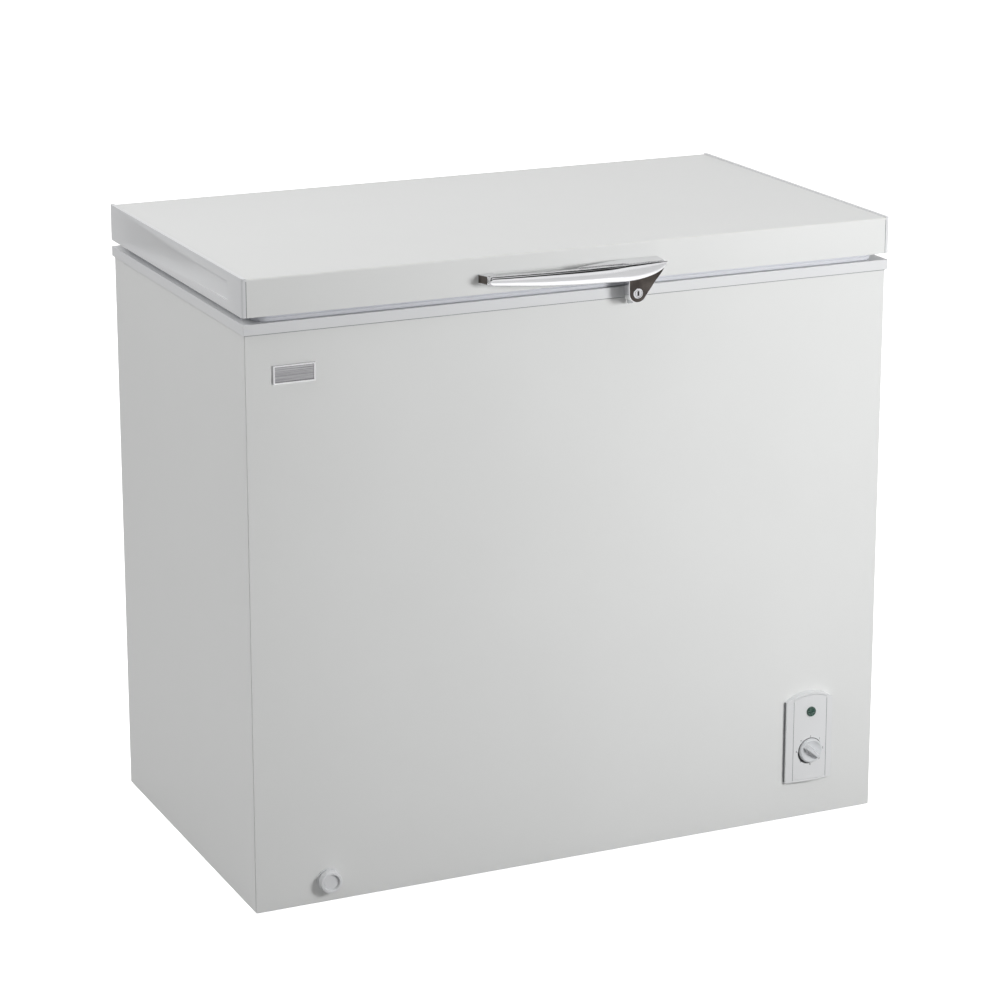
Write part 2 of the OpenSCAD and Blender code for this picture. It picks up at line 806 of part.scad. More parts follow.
module hinge_pins() {
    half = channel_w / 2;
    color(zinc) at_hinges() {
        rod_x(axis_y, axis_z, pin_r, -half, half);
        for (s = [-1, 1]) rod_x(axis_y, axis_z, 6, s > 0 ? half : -half - 2.5, s > 0 ? half + 2.5 : -half);
    }
}

module hinge_covers() {
    half = channel_w / 2;
    top = axis_z - 16;
    color(white_plastic) at_hinges() difference() {
        box([-half - cover_t, back_y + max(channel_t, rim_over) + 0.3, channel_low - 3],
            [half + cover_t, back_y + cover_out, top]);
        box([-half, back_y, channel_low - 1], [half, back_y + channel_d, top + 1]);
    }
}

// Cam whose lift under the pin falls evenly as the lid opens, so the pusher's travel is even
function cam_point(turn) =
    let (a = -90 + turn, lift = cam_p0 - cam_base_r * turn * PI / 180)
    [lift * cos(a) + cam_base_r * sin(a), lift * sin(a) - cam_base_r * cos(a)];

cam_gap = 0.3;

module cam_outline() {
    polygon(concat(
        [[-7, 2], [-7, -11]],
        [for (turn = [0:4:88]) cam_point(turn)],
        arc(0, 0, 8, 0, 150, 10)));
}

leaf_w = 38;
leaf_t = 2.5;

module leaf_ear() {
    translate([axis_y, axis_z]) circle(r = 8);
    polygon([[lid_d / 2, lid_z + 1], [lid_d / 2, lid_z + 22], [lid_d / 2 + leaf_t, lid_z + 22],
        [axis_y + 2, axis_z + 7.7], [axis_y - 4, axis_z - 6.9]]);
}

module hinge_leaves() {
    color(zinc) at_hinges() difference() {
        union() {
            box([-leaf_w / 2, lid_d / 2, lid_z + 1],
                [leaf_w / 2, lid_d / 2 + leaf_t, lid_z + lid_h - 6]);
            for (s = [-1, 1]) translate([s * (leaf_w / 2 - 1.5), 0, 0]) slab_x(-1.5, 1.5) leaf_ear();
            slab_x(-6, 6) leaf_ear();
            slab_x(-6, 6) translate([axis_y, axis_z]) cam_outline();
        }
        rod_x(axis_y, axis_z, pin_r + running, -leaf_w, leaf_w);
        at_leaf_screws() rod_y(0, 0, screw_r + 0.1, lid_d / 2 - 1, lid_d / 2 + 5);
    }
}

module leaf_screws() {
    color(zinc) at_hinges() at_leaf_screws() screw_y(lid_d / 2, leaf_t);
}

pusher_top = axis_z - cam_p0 - cam_gap;

// Blocks that the springs push up against the cams
module hinge_pushers() {
    color(white_plastic) at_hinges() {
        box([-20, back_y + rim_over + 1.2, pusher_top - pusher_h],
            [20, back_y + channel_d - 1, pusher_top]);
        translate([0, axis_y - 4, pusher_top - pusher_h - 16]) cylinder(r = 5, h = 17);
    }
}

module hinge_springs() {
    low = spring_seat + spring_wire;
    high = pusher_top - pusher_h - spring_wire;
    steps = 10;
    color(zinc) at_hinges() translate([0, axis_y - 4, 0])
        pipe([for (i = [0:spring_turns * steps]) let (a = 360 * i / steps)
            [spring_r * cos(a), spring_r * sin(a),
                low + (high - low) * i / (spring_turns * steps)]], spring_wire, 6);
}

// --- basket ---
basket_d = mouth_d - 2 * ledge_w - 9;
basket_r = 1.8;
basket_rim_r = 2.6;
basket_hang = mouth_d / 2 - 5;     // ends of the wires that hang on the ledges
mouth_r = tub_r - lip_t;
basket_left = -mouth_w / 2 + mouth_r + basket_rim_r + 1
    - sqrt(mouth_r * mouth_r - pow(mouth_r + basket_hang + basket_rim_r - mouth_d / 2, 2));
basket_top = panel_top - lip_h + ledge_h + basket_rim_r + 0.2;

// Wire along an axis between two points, as a square bar
module wire(p, q, r) {
    box([for (i = [0:2]) min(p[i], q[i]) - r], [for (i = [0:2]) max(p[i], q[i]) + r]);
}

module wire_loop(w, d, z, r) {
    for (s = [-1, 1]) {
        wire([-w / 2, s * d / 2, z], [w / 2, s * d / 2, z], r);
        wire([s * w / 2, -d / 2, z], [s * w / 2, d / 2, z], r);
    }
}

module wire_basket() {
    w = basket_w;
    d = basket_d;
    rows = 5;
    columns = 9;
    low = basket_top - basket_h;
    color(white_paint) translate([basket_left + w / 2, 0, 0]) {
        wire_loop(w, d, basket_top, basket_rim_r);
        for (z = [basket_top - basket_h * 0.35, basket_top - basket_h * 0.68]) wire_loop(w, d, z, basket_r);
        for (s = [-1, 1])
            wire([s * w / 2, -basket_hang, basket_top], [s * w / 2, basket_hang, basket_top],
                basket_rim_r);
        for (i = [0:rows]) let (x = -w / 2 + w * i / rows) {
            for (s = [-1, 1]) wire([x, s * d / 2, low], [x, s * d / 2, basket_top], basket_r);
            wire([x, -d / 2, low], [x, d / 2, low], basket_r);
        }
        for (i = [0:columns]) let (y = -d / 2 + d * i / columns) {
            for (s = [-1, 1]) wire([s * w / 2, y, low], [s * w / 2, y, basket_top], basket_r);
            wire([-w / 2, y, low], [w / 2, y, low], basket_r);
        }
    }
}

// --- lid ---
lid_top = lid_z + lid_h;
skin_w = lid_w - 2 * cap_w;

module lid_skin() {
    color(white_paint) difference() {
        box([-skin_w / 2, -lid_d / 2, lid_z], [skin_w / 2, lid_d / 2, lid_top]);
        box([-skin_w, -lid_d / 2 + sheet, 0], [skin_w, lid_d / 2 - sheet, lid_top - sheet]);
    }
}

scoop_y = -lid_d / 2 + 54;         // sharp front end of the finger scoop
scoop_z = [lid_z + 12, lid_z + 38];
scoop_depth = cap_w - 1.2;
scoop_long = 227;                  // its length along the top edge
scoop_short = 143;                 // its length along the bottom edge
scoop_yaw = atan(scoop_depth / scoop_long);
scoop_roll = atan(scoop_depth * (1 - scoop_short / scoop_long) / (scoop_z[1] - scoop_z[0]));

// End cap with a finger scoop that is deepest at its front end and runs out to nothing
module lid_cap(s) {
    x = s * lid_w / 2;
    color(white_plastic) mirror([s > 0 ? 0 : 1, 0, 0]) difference() {
        union() {
            translate([lid_w / 2 - cap_w, 0, lid_z]) linear_extrude(lid_h + cap_proud)
                polygon(concat([[0, lid_d / 2], [0, -lid_d / 2]],
                    arc(cap_w - 3, -lid_d / 2 + 3, 3, -90, 0, 4),
                    arc(cap_w - 3, lid_d / 2 - 3, 3, 0, 90, 4)));
            box([lid_w / 2 - cap_w - 12, -lid_d / 2 + sheet, lid_z],
                [lid_w / 2 - cap_w, lid_d / 2 - sheet, lid_z + 3]);
        }
        intersection() {
            box([lid_w / 2 - cap_w, scoop_y, scoop_z[0]],
                [lid_w / 2 + 1, scoop_y + scoop_long + 10, scoop_z[1]]);
            translate([lid_w / 2 - scoop_depth, scoop_y, scoop_z[1]])
                rotate([0, -scoop_roll, -scoop_yaw]) box([0, -50, -90], [60, 400, 60]);
        }
    }
}

module lid_cap_left() {
    lid_cap(-1);
}

module lid_cap_right() {
    lid_cap(1);
}

liner_lid_t = 2;
plug_w = mouth_w - 2 * plug_gap;
plug_d = mouth_d - 2 * plug_gap;
lid_in_w = skin_w - 24;
lid_in_d = lid_d - 2 * sheet;

module lid_plug(grow) {
    translate([0, 0, lid_z - plug_h - grow]) linear_extrude(plug_h + 2 * grow + liner_lid_t)
        polygon(rounded(plug_w + 2 * grow, plug_d + 2 * grow, 24 + grow));
}

module lid_liner() {
    color(white_plastic) difference() {
        union() {
            box([-lid_in_w / 2, -lid_in_d / 2, lid_z], [lid_in_w / 2, lid_in_d / 2, lid_z + liner_lid_t]);
            translate([0, 0, lid_z - plug_h]) linear_extrude(plug_h)
                polygon(rounded(plug_w, plug_d, 24));
        }
        translate([0, 0, lid_z - plug_h + liner_lid_t]) linear_extrude(plug_h + 1)
            polygon(rounded(plug_w - 2 * liner_lid_t, plug_d - 2 * liner_lid_t, 24 - liner_lid_t));
    }
}

module lid_foam() {
    color(foam_yellow) {
        box([-skin_w / 2, -lid_in_d / 2, lid_z + 3], [skin_w / 2, lid_in_d / 2, lid_top - sheet]);
        translate([0, 0, lid_z - plug_h + liner_lid_t]) linear_extrude(plug_h + 1)
            polygon(rounded(plug_w - 2 * liner_lid_t, plug_d - 2 * liner_lid_t, 24 - liner_lid_t));
        box([-lid_in_w / 2, -lid_in_d / 2, lid_z + liner_lid_t], [lid_in_w / 2, lid_in_d / 2, lid_z + 3]);
    }
}

gasket_in = 4;
gasket_w = 16;
gasket_clear = 0.3;

module lid_gasket() {
    w = lid_w - 2 * cap_w - 24 - 2;
    d = lid_d - 2 * gasket_in;
    color([0.82, 0.83, 0.85]) difference() {
        translate([0, 0, rim_z + gasket_clear]) linear_extrude(lid_gap - gasket_clear)
            polygon(rounded(w, d, 12));
        translate([0, 0, rim_z - 1]) linear_extrude(lid_gap + 2)
            polygon(rounded(w - 2 * gasket_w, d - 2 * gasket_w, 6));
    }
}

// --- handle and lock, on the lid's front ---
lid_front = -lid_d / 2;
post_w = 20;
post_slant = 6;                     // the post's left face leans in by this on its way out
post_out = 18;
plate_z = [lid_z + 24.5, lid_z + 28.5];
grip_top = lid_z + 27.5;
housing_out = 30;                  // from the lid's front to the lock housing's face
grip_left = handle_left + post_slant - 1;
grip_right = handle_right - 1;

// Left post, and the right foot with its top plate
module handle_base() {
    y = lid_front;
    color(chrome) {
        translate([0, 0, grip_top - 12]) linear_extrude(12)
            polygon([[handle_left, y], [handle_left + post_slant, y - post_out],
                [handle_left + post_w, y - post_out], [handle_left + post_w, y]]);
        box([lock_x + 7, y - housing_gap, lid_z + 4], [handle_right - 6, y, plate_z[0]]);
        translate([0, 0, plate_z[0]]) linear_extrude(plate_z[1] - plate_z[0])
            polygon([[handle_right, y], [lock_x - 18, y], [lock_x - 84, y - 21.5],
                [lock_x - 84, y - 24.6], [lock_x - 19, y - 24.8], [lock_x - 13, y - housing_out + 0.2],
                [handle_right - 10, y - housing_out + 0.2], [handle_right - 2, y - 24]]);
    }
}

// Bowed bar with a leaf-shaped right end. u runs from its left end to its tip
function grip_front(u) = 28 + (handle_reach - 28) * sin(180 * min(1, u * 0.86));
function grip_back(u) = post_out + (25 - post_out) * sin(90 * max(0, min(1, (u - 0.09) / 0.31)))
    + (housing_out - 24.8) * max(0, min(1, (u - 0.66) / 0.1));
function grip_tall(u) = u < 0.76 ? 12 + 10 * sin(90 * u / 0.76)
    : max(1.4, 22 * sqrt(1 - pow((u - 0.76) / 0.24, 2)));
function bent(v, e) = sign(v) * pow(abs(v), e);

function grip_station(u) =
    let (x = grip_left + u * (grip_right - grip_left), back = grip_back(u),
        out = max(grip_front(u), back + 2), mid = grip_top - grip_tall(u) / 2)
    [for (k = [0:12]) let (a = 90 - 15 * k)
        [x, lid_front - back - (out - back) * bent(cos(a), 0.7),
            mid + grip_tall(u) / 2 * bent(sin(a), 0.9)]];

module handle_grip() {
    color(chrome) skin([for (u = concat([for (i = [0:19]) i / 25],
        [0.8, 0.84, 0.88, 0.915, 0.945, 0.965, 0.98, 0.99, 1])) grip_station(u)]);
}

module lock_outline() {
    polygon(concat(arc(lock_x, lock_z, housing_r, 180, 330, 14),
        [[lock_x + 25, lid_z + 1], [handle_right - 6, lid_z + 15], [handle_right - 2, plate_z[0]],
            [lock_x - housing_r, plate_z[0]]]));
}

module lock_housing() {
    color(chrome) difference() {
        slab_y(lid_front - housing_out, lid_front - housing_gap) lock_outline();
        rod_y(lock_x, lock_z, barrel_r + 0.1, lid_front - 60, lid_front);
    }
}

module lock_barrel() {
    front = lid_front - housing_out - 1.2;
    color(chrome) difference() {
        union() {
            rod_y(lock_x, lock_z, barrel_r, front, lid_front - housing_gap + 1);
            rod_y(lock_x, lock_z, 3, lid_front - housing_gap + 1, lid_front - cam_y + 1);
        }
        box([lock_x - 0.9, front - 1, lock_z - 3.5], [lock_x + 0.9, front + 6, lock_z + 3.5]);
    }
}

cam_len = 18;

module lock_cam() {
    color(zinc) difference() {
        slab_y(lid_front - cam_y - cam_t, lid_front - cam_y)
            polygon(concat(arc(lock_x, lock_z, 6, -35.7, 215.7, 12),
                [[lock_x - cam_half, lock_z - 5], [lock_x - cam_half, lock_z - cam_len],
                    [lock_x + cam_half, lock_z - cam_len], [lock_x + cam_half, lock_z - 5]]));
        rod_y(lock_x, lock_z, 3, lid_front - 30, lid_front);
    }
}

module lock_keeper() {
    z0 = lock_z + cam_half + lip_gap;
    x0 = lock_x + 8;
    y0 = front_y - rim_over;
    color(zinc) {
        box([x0, y0 - 1.5, rim_z - rim_h + 1], [x0 + 16, y0, z0]);
        box([x0, y0 - cam_y - cam_t - 2, z0], [x0 + 16, y0, z0 + 2.3]);
    }
}

module placed() {
    translate([0, y_mid, 0]) children();
}

placed() {
    front_panel();
    left_side_panel();
    right_side_panel();
    back_panel();
    base_pan();
    feet();
    foam_body();
    inner_liner();
    rim_frame();
    evaporator_tube();
    condenser_tube();
    bay_sheet();
    compressor_base();
    compressor();
    compressor_grommets();
    compressor_bolts();
    relay_cover();
    filter_drier();
    discharge_line();
    suction_line();
    wiring_harness();
    side_grille();
    rear_cover();
    rear_screws();
    cord_inlet();
    control_bezel();
    control_plate();
    lamp_lens();
    lamp_body();
    thermostat_body();
    thermostat_shaft();
    thermostat_knob();
    drain_tube();
    drain_plug();
    drain_spout();
    drain_cap();
    badge_frame();
    badge_plate();
    lock_keeper();
    hinge_brackets();
    hinge_pins();
    hinge_covers();
    hinge_springs();
    hinge_pushers();
    wire_basket();
    lid_skin();
    lid_cap_left();
    lid_cap_right();
    lid_foam();
    lid_liner();
    lid_gasket();
    hinge_leaves();
    leaf_screws();
    handle_base();
    handle_grip();
    lock_housing();
    lock_barrel();
    lock_cam();
}
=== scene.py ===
import json
import math

import bmesh
import bpy
from mathutils import Matrix, Vector


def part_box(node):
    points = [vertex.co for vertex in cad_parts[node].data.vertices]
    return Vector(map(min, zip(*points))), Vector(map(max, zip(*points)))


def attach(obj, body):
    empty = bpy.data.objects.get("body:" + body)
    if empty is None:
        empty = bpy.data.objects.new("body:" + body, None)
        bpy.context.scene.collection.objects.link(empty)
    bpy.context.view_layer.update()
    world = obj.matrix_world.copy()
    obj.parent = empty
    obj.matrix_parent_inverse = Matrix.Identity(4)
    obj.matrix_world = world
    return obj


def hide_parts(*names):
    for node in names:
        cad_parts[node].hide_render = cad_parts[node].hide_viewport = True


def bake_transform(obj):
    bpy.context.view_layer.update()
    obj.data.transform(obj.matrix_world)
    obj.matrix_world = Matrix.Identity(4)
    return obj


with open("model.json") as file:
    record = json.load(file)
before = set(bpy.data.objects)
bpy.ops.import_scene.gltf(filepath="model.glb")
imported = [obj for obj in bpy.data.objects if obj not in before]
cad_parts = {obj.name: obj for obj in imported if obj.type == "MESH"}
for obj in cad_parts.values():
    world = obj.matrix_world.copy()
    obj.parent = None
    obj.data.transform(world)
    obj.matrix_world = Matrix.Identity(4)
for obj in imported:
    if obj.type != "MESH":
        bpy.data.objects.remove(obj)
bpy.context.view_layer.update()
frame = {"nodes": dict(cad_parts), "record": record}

# --- camera ---
# A long lens a little above the lid, turned towards the front left corner of the cabinet.
turn, drop = math.radians(-24.616), math.radians(14.771)
lens = bpy.data.cameras.new("camera")
lens.lens = 117.12
lens.sensor_width = 36.0
lens.shift_y = -0.1
lens.clip_end = 200.0
camera = bpy.data.objects.new("camera", lens)
bpy.context.collection.objects.link(camera)
camera.location = (-1.8373, -4.0198, 1.7612)
behind = Vector((math.sin(turn) * math.cos(drop), -math.cos(turn) * math.cos(drop), math.sin(drop)))
camera.rotation_euler = (-behind).to_track_quat("-Z", "Y").to_euler()
bpy.context.scene.camera = camera

# --- painted sheets of the cabinet ---
# The front, sides and back are 0.8 mm steel sheets, folded at their edges and powder painted white
# before foam is poured behind them. The satin paint has a faint orange peel and a faint cloudiness.
body_of = {n: b for b, nodes in frame["record"]["behaviour"]["bodies"].items() for n in nodes}


def tone(red, green, blue):
    """A colour given as display levels from 0 to 255."""
    return tuple((c / 255 / 12.92 if c <= 10 else ((c / 255 + 0.055) / 1.055) ** 2.4)
                 for c in (red, green, blue)) + (1.0,)


def shader_group(name, inputs, outputs):
    """An empty shader group with named number inputs and outputs."""
    tree = bpy.data.node_groups.new(name, "ShaderNodeTree")
    for label, value in inputs.items():
        tree.interface.new_socket(label, in_out="INPUT", socket_type="NodeSocketFloat").default_value = value
    for label in outputs:
        tree.interface.new_socket(label, in_out="OUTPUT", socket_type="NodeSocketFloat")
    return tree, tree.nodes.new("NodeGroupInput"), tree.nodes.new("NodeGroupOutput")


grain, given, made = shader_group("grain", {"Fine": 800.0, "Broad": 6.0}, ("Grain", "Patch"))
where = grain.nodes.new("ShaderNodeTexCoord")
for scale, result, detail in (("Fine", "Grain", 1.0), ("Broad", "Patch", 3.0)):
    noise = grain.nodes.new("ShaderNodeTexNoise")
    noise.inputs["Detail"].default_value = detail
    grain.links.new(where.outputs["Object"], noise.inputs["Vector"])
    grain.links.new(given.outputs[scale], noise.inputs["Scale"])
    grain.links.new(noise.outputs["Fac"], made.inputs[result])


def finish(name, low, high, rough, bump, group=grain, shade="Patch", height="Grain", sizes=None, **fixed):
    """A material whose colour and roughness run between two values and whose relief is bump metres high."""
    material = bpy.data.materials.new(name)
    material.use_nodes = True
    nodes, links = material.node_tree.nodes, material.node_tree.links
    surface = nodes["Principled BSDF"]
    pattern = nodes.new("ShaderNodeGroup")
    pattern.node_tree = group
    for label, value in (sizes or {}).items():
        pattern.inputs[label].default_value = value
    colours = nodes.new("ShaderNodeValToRGB")
    colours.color_ramp.elements[0].position, colours.color_ramp.elements[1].position = 0.3, 0.7
    colours.color_ramp.elements[0].color, colours.color_ramp.elements[1].color = low, high
    links.new(pattern.outputs[shade], colours.inputs["Fac"])
    links.new(colours.outputs["Color"], surface.inputs["Base Color"])
    gloss = nodes.new("ShaderNodeMapRange")
    for label, value in zip(("From Min", "From Max", "To Min", "To Max"), (0.3, 0.7) + tuple(rough)):
        gloss.inputs[label].default_value = value
    links.new(pattern.outputs[shade], gloss.inputs["Value"])
    links.new(gloss.outputs["Result"], surface.inputs["Roughness"])
    relief = nodes.new("ShaderNodeBump")
    relief.inputs["Distance"].default_value = bump
    relief.inputs["Strength"].default_value = 1.0
    links.new(pattern.outputs[height], relief.inputs["Height"])
    links.new(relief.outputs["Normal"], surface.inputs["Normal"])
    for label, value in fixed.items():
        surface.inputs[label.replace("_", " ").title().replace("Ior", "IOR")].default_value = value
    return material


def placed(name, mesh, material, nodes=(), body=None, sharp=40.0):
    """Shows a mesh as a finished piece with the given material, in place of the named nodes and on their body.
    """
    mesh.materials.clear()
    mesh.materials.append(material)
    mesh.shade_smooth()
    mesh.set_sharp_from_angle(angle=math.radians(sharp))
    obj = bpy.data.objects.new(name, mesh)
    bpy.context.collection.objects.link(obj)
    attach(obj, body or body_of[nodes[0]])
    if nodes:
        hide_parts(*nodes)
    return obj


def rounded(obj, width, segments=2, angle=40.0):
    """Rounds the edges of a piece that are sharper than the angle."""
    edge = obj.modifiers.new("edge", "BEVEL")
    edge.width = width
    edge.segments = segments
    edge.limit_method = "ANGLE"
    edge.angle_limit = math.radians(angle)
    edge.harden_normals = True
    return obj


def softened(node, material, width, segments=2, angle=40.0):
    """A merged copy of a node, with rounded edges, that takes the node's place."""
    shell = bmesh.new()
    shell.from_mesh(frame["nodes"][node].data)
    bmesh.ops.remove_doubles(shell, verts=shell.verts, dist=2e-6)
    bmesh.ops.dissolve_limit(shell, angle_limit=math.radians(0.8), verts=shell.verts, edges=shell.edges)
    mesh = bpy.data.meshes.new(node + "_made")
    shell.to_mesh(mesh)
    shell.free()
    return rounded(placed(node + "_made", mesh, material, [node]), width, segments, angle)


def coated(material, *nodes):
    """Gives nodes that keep their own shape their finish."""
    for node in nodes:
        frame["nodes"][node].data.materials.clear()
        frame["nodes"][node].data.materials.append(material)


enamel = finish("white_enamel", tone(229, 230, 229), tone(233, 234, 233), (0.34, 0.40), 0.00002,
                sizes={"Fine": 420.0, "Broad": 2.6}, coat_weight=0.25, coat_roughness=0.2)
for node in ("front_panel", "left_side_panel", "right_side_panel", "back_panel"):
    softened(node, enamel, 0.0004)

# --- bare galvanised steel ---
# The base pan, the bay's inner sheet, the compressor's base, the rear cover and the switch strap are
# left unpainted. Hot-dip zinc cools into flat crystals a few millimetres across, each its own grey.
cells, given, made = shader_group("cells", {"Scale": 150.0}, ("Shade", "Dome", "Patch"))
where = cells.nodes.new("ShaderNodeTexCoord")
crystal = cells.nodes.new("ShaderNodeTexVoronoi")
cells.links.new(where.outputs["Object"], crystal.inputs["Vector"])
cells.links.new(given.outputs["Scale"], crystal.inputs["Scale"])
split = cells.nodes.new("ShaderNodeSeparateColor")
cells.links.new(crystal.outputs["Color"], split.inputs["Color"])
cells.links.new(split.outputs["Red"], made.inputs["Shade"])
cells.links.new(crystal.outputs["Distance"], made.inputs["Dome"])
cloud = cells.nodes.new("ShaderNodeTexNoise")
cloud.inputs["Scale"].default_value = 9.0
cells.links.new(where.outputs["Object"], cloud.inputs["Vector"])
cells.links.new(cloud.outputs["Fac"], made.inputs["Patch"])
galvanised = finish("galvanised", tone(150, 153, 156), tone(178, 181, 183), (0.34, 0.5), 0.00001,
                    group=cells, shade="Shade", height="Dome", sizes={"Scale": 130.0}, metallic=0.85)
coated(galvanised, "base_pan", "bay_sheet", "compressor_base", "thermostat_body")
softened("rear_cover", galvanised, 0.0003)

# --- feet ---
# Four low black glides of moulded rubber are pressed into the base under the corners.
rubber = finish("black_rubber", tone(24, 24, 25), tone(33, 33, 34), (0.62, 0.78), 0.00004,
                sizes={"Fine": 1400.0, "Broad": 30.0})
feet_rubber = finish("grey_feet", tone(58, 59, 60), tone(70, 71, 72), (0.6, 0.75), 0.00004,
                     sizes={"Fine": 1200.0, "Broad": 30.0})
softened("feet", feet_rubber, 0.0012)

# --- insulation ---
# Rigid polyurethane foam fills the cabinet walls and the lid. It is cast in place and sets into
# fine closed cells, yellowish where it is seen.
foam = finish("pu_foam", tone(222, 206, 164), tone(236, 224, 188), (0.85, 0.95), 0.0004,
              group=cells, shade="Patch", height="Dome", sizes={"Scale": 700.0})
coated(foam, "foam_body", "lid_foam")

# --- tub ---
# The food tub is folded from thin aluminium sheet with an embossed stucco pattern that hides dents.
# The refrigerant tube is taped round its outside before the foam is poured.
liner = finish("embossed_aluminium", tone(196, 199, 202), tone(214, 217, 219), (0.26, 0.4), 0.0006,
               group=cells, shade="Patch", height="Dome", sizes={"Scale": 190.0}, metallic=0.9)
softened("inner_liner", liner, 0.0004)

# --- rim ---
# A white vacuum-formed ABS frame caps the walls: it clips over the sheets outside and its lip goes
# down inside the tub, with a ledge for the basket.
white_plastic = finish("white_plastic", tone(226, 227, 229), tone(231, 232, 233), (0.3, 0.38), 0.000015,
                       sizes={"Fine": 900.0, "Broad": 4.0})
softened("rim_frame", white_plastic, 0.001, 3)


def bars(name, material, boxes, body):
    """Thin square bars between pairs of opposite corners, as one piece."""
    shell = bmesh.new()
    for low, high in boxes:
        corners = bmesh.ops.create_cube(shell, size=1.0)["verts"]
        for v in corners:
            v.co = Vector(low) + Vector(((v.co[i] + 0.5) * (high[i] - low[i]) for i in range(3)))
    mesh = bpy.data.meshes.new(name)
    shell.to_mesh(mesh)
    shell.free()
    return placed(name, mesh, material, body=body)


# This grey is painted shade: its thin bars stand where shadow falls under the rim's step, at the control
# panel's joints and at the lid caps' seams.
painted_joint_shade = finish("painted_joint_shade", tone(112, 114, 117), tone(134, 136, 139), (0.6, 0.7), 0.00001,
                    sizes={"Fine": 900.0, "Broad": 20.0})
rim_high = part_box("rim_frame")[1]
front_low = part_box("front_panel")[0]
side_low, side_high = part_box("left_side_panel")
shadow_z, rim_x, rim_y = rim_high.z - 0.014, -side_low.x, front_low.y
shadow_tall, shadow_side, shadow_front = 0.0012, 0.0006, 0.0008
shadow_foot = shadow_z - shadow_tall
# Round the front and sides, a thin grey bar under the rim's edge is the rim's shadow on the sheets, painted.
bars("rim_seal", painted_joint_shade, [
    ((-rim_x - shadow_side, rim_y - shadow_front, shadow_foot), (rim_x + shadow_side, rim_y, shadow_z)),
    ((-rim_x - shadow_side, rim_y, shadow_foot), (-rim_x, side_high.y, shadow_z)),
    ((rim_x, rim_y, shadow_foot), (rim_x + shadow_side, side_high.y, shadow_z))], "cabinet")

# --- refrigerant tubes ---
# The evaporator is aluminium tube round the tub, and the condenser is copper tube against the outer
# sheets. The compressor's lines, the drier and its capillary are brazed copper.
aluminium = finish("aluminium_tube", tone(178, 180, 182), tone(198, 200, 202), (0.3, 0.45), 0.00001,
                   sizes={"Fine": 1500.0, "Broad": 60.0}, metallic=0.9)
copper = finish("copper_tube", tone(168, 100, 66), tone(198, 126, 86), (0.28, 0.5), 0.00001,
                sizes={"Fine": 1500.0, "Broad": 45.0}, metallic=0.9)
coated(aluminium, "evaporator_tube")
coated(copper, "condenser_tube")
for node in ("discharge_line", "suction_line", "filter_drier"):
    softened(node, copper, 0.0001)

# --- compressor and its wiring ---
# A black painted steel can stands on rubber grommets over studs. A moulded cover shields its start
# relay, and a sleeved loom runs from there to the thermostat.
can_paint = finish("compressor_paint", tone(20, 20, 21), tone(34, 34, 35), (0.28, 0.42), 0.00003,
                   sizes={"Fine": 500.0, "Broad": 14.0}, coat_weight=0.3)
black_plastic = finish("black_plastic", tone(24, 24, 26), tone(34, 34, 36), (0.45, 0.6), 0.00003,
                       sizes={"Fine": 1600.0, "Broad": 24.0})
zinc = finish("zinc_plate", tone(168, 170, 172), tone(192, 194, 195), (0.25, 0.4), 0.00001,
              sizes={"Fine": 2200.0, "Broad": 60.0}, metallic=0.95)
sleeve = finish("wire_cover", tone(176, 177, 180), tone(196, 197, 199), (0.5, 0.65), 0.00005,
                sizes={"Fine": 1200.0, "Broad": 40.0})
softened("compressor", can_paint, 0.0012)
softened("compressor_grommets", rubber, 0.0008)
softened("compressor_bolts", zinc, 0.0004)
softened("relay_cover", black_plastic, 0.002)
softened("wiring_harness", sleeve, 0.0001)

# --- side grille ---
# The bay breathes through a white moulded grille let into the right side. Each opening holds
# sloping louvres that keep fingers out.
softened("side_grille", white_plastic, 0.0006)


def geometry_tree(name, inputs):
    """A Geometry Nodes tree with a geometry input, the given named inputs and a geometry output."""
    tree = bpy.data.node_groups.new(name, "GeometryNodeTree")
    tree.interface.new_socket("Geometry", in_out="INPUT", socket_type="NodeSocketGeometry")
    for label, (kind, value) in inputs.items():
        socket = tree.interface.new_socket(label, in_out="INPUT", socket_type="NodeSocket" + kind)
        if value is not None:
            socket.default_value = value
    tree.interface.new_socket("Geometry", in_out="OUTPUT", socket_type="NodeSocketGeometry")
    return tree, tree.nodes.new("NodeGroupInput"), tree.nodes.new("NodeGroupOutput")


def end_tree(tree, geometry, given, made):
    """Realizes the tree's instances and sets their material."""
    real = tree.nodes.new("GeometryNodeRealizeInstances")
    coat = tree.nodes.new("GeometryNodeSetMaterial")
    tree.links.new(geometry, real.inputs["Geometry"])
    tree.links.new(real.outputs["Geometry"], coat.inputs["Geometry"])
    tree.links.new(given.outputs["Material"], coat.inputs["Material"])
    tree.links.new(coat.outputs["Geometry"], made.inputs["Geometry"])


def grown(name, tree, base, values):
    """The plain mesh that a tree makes from a base mesh of points and edges."""
    obj = bpy.data.objects.new(name + "_base", base)
    bpy.context.collection.objects.link(obj)
    growth = obj.modifiers.new("growth", "NODES")
    growth.node_group = tree
    for socket in tree.interface.items_tree:
        if socket.item_type == "SOCKET" and socket.in_out == "INPUT" and socket.name in values:
            growth[socket.identifier] = values[socket.name]
    seen = obj.evaluated_get(bpy.context.evaluated_depsgraph_get())
    mesh = bpy.data.meshes.new_from_object(seen)
    mesh.name = name
    bpy.data.objects.remove(obj)
    return mesh


def points(name, spots, edges=()):
    """A mesh of bare points, and of edges where they are given."""
    mesh = bpy.data.meshes.new(name)
    mesh.from_pydata([tuple(s) for s in spots], list(edges), [])
    return mesh


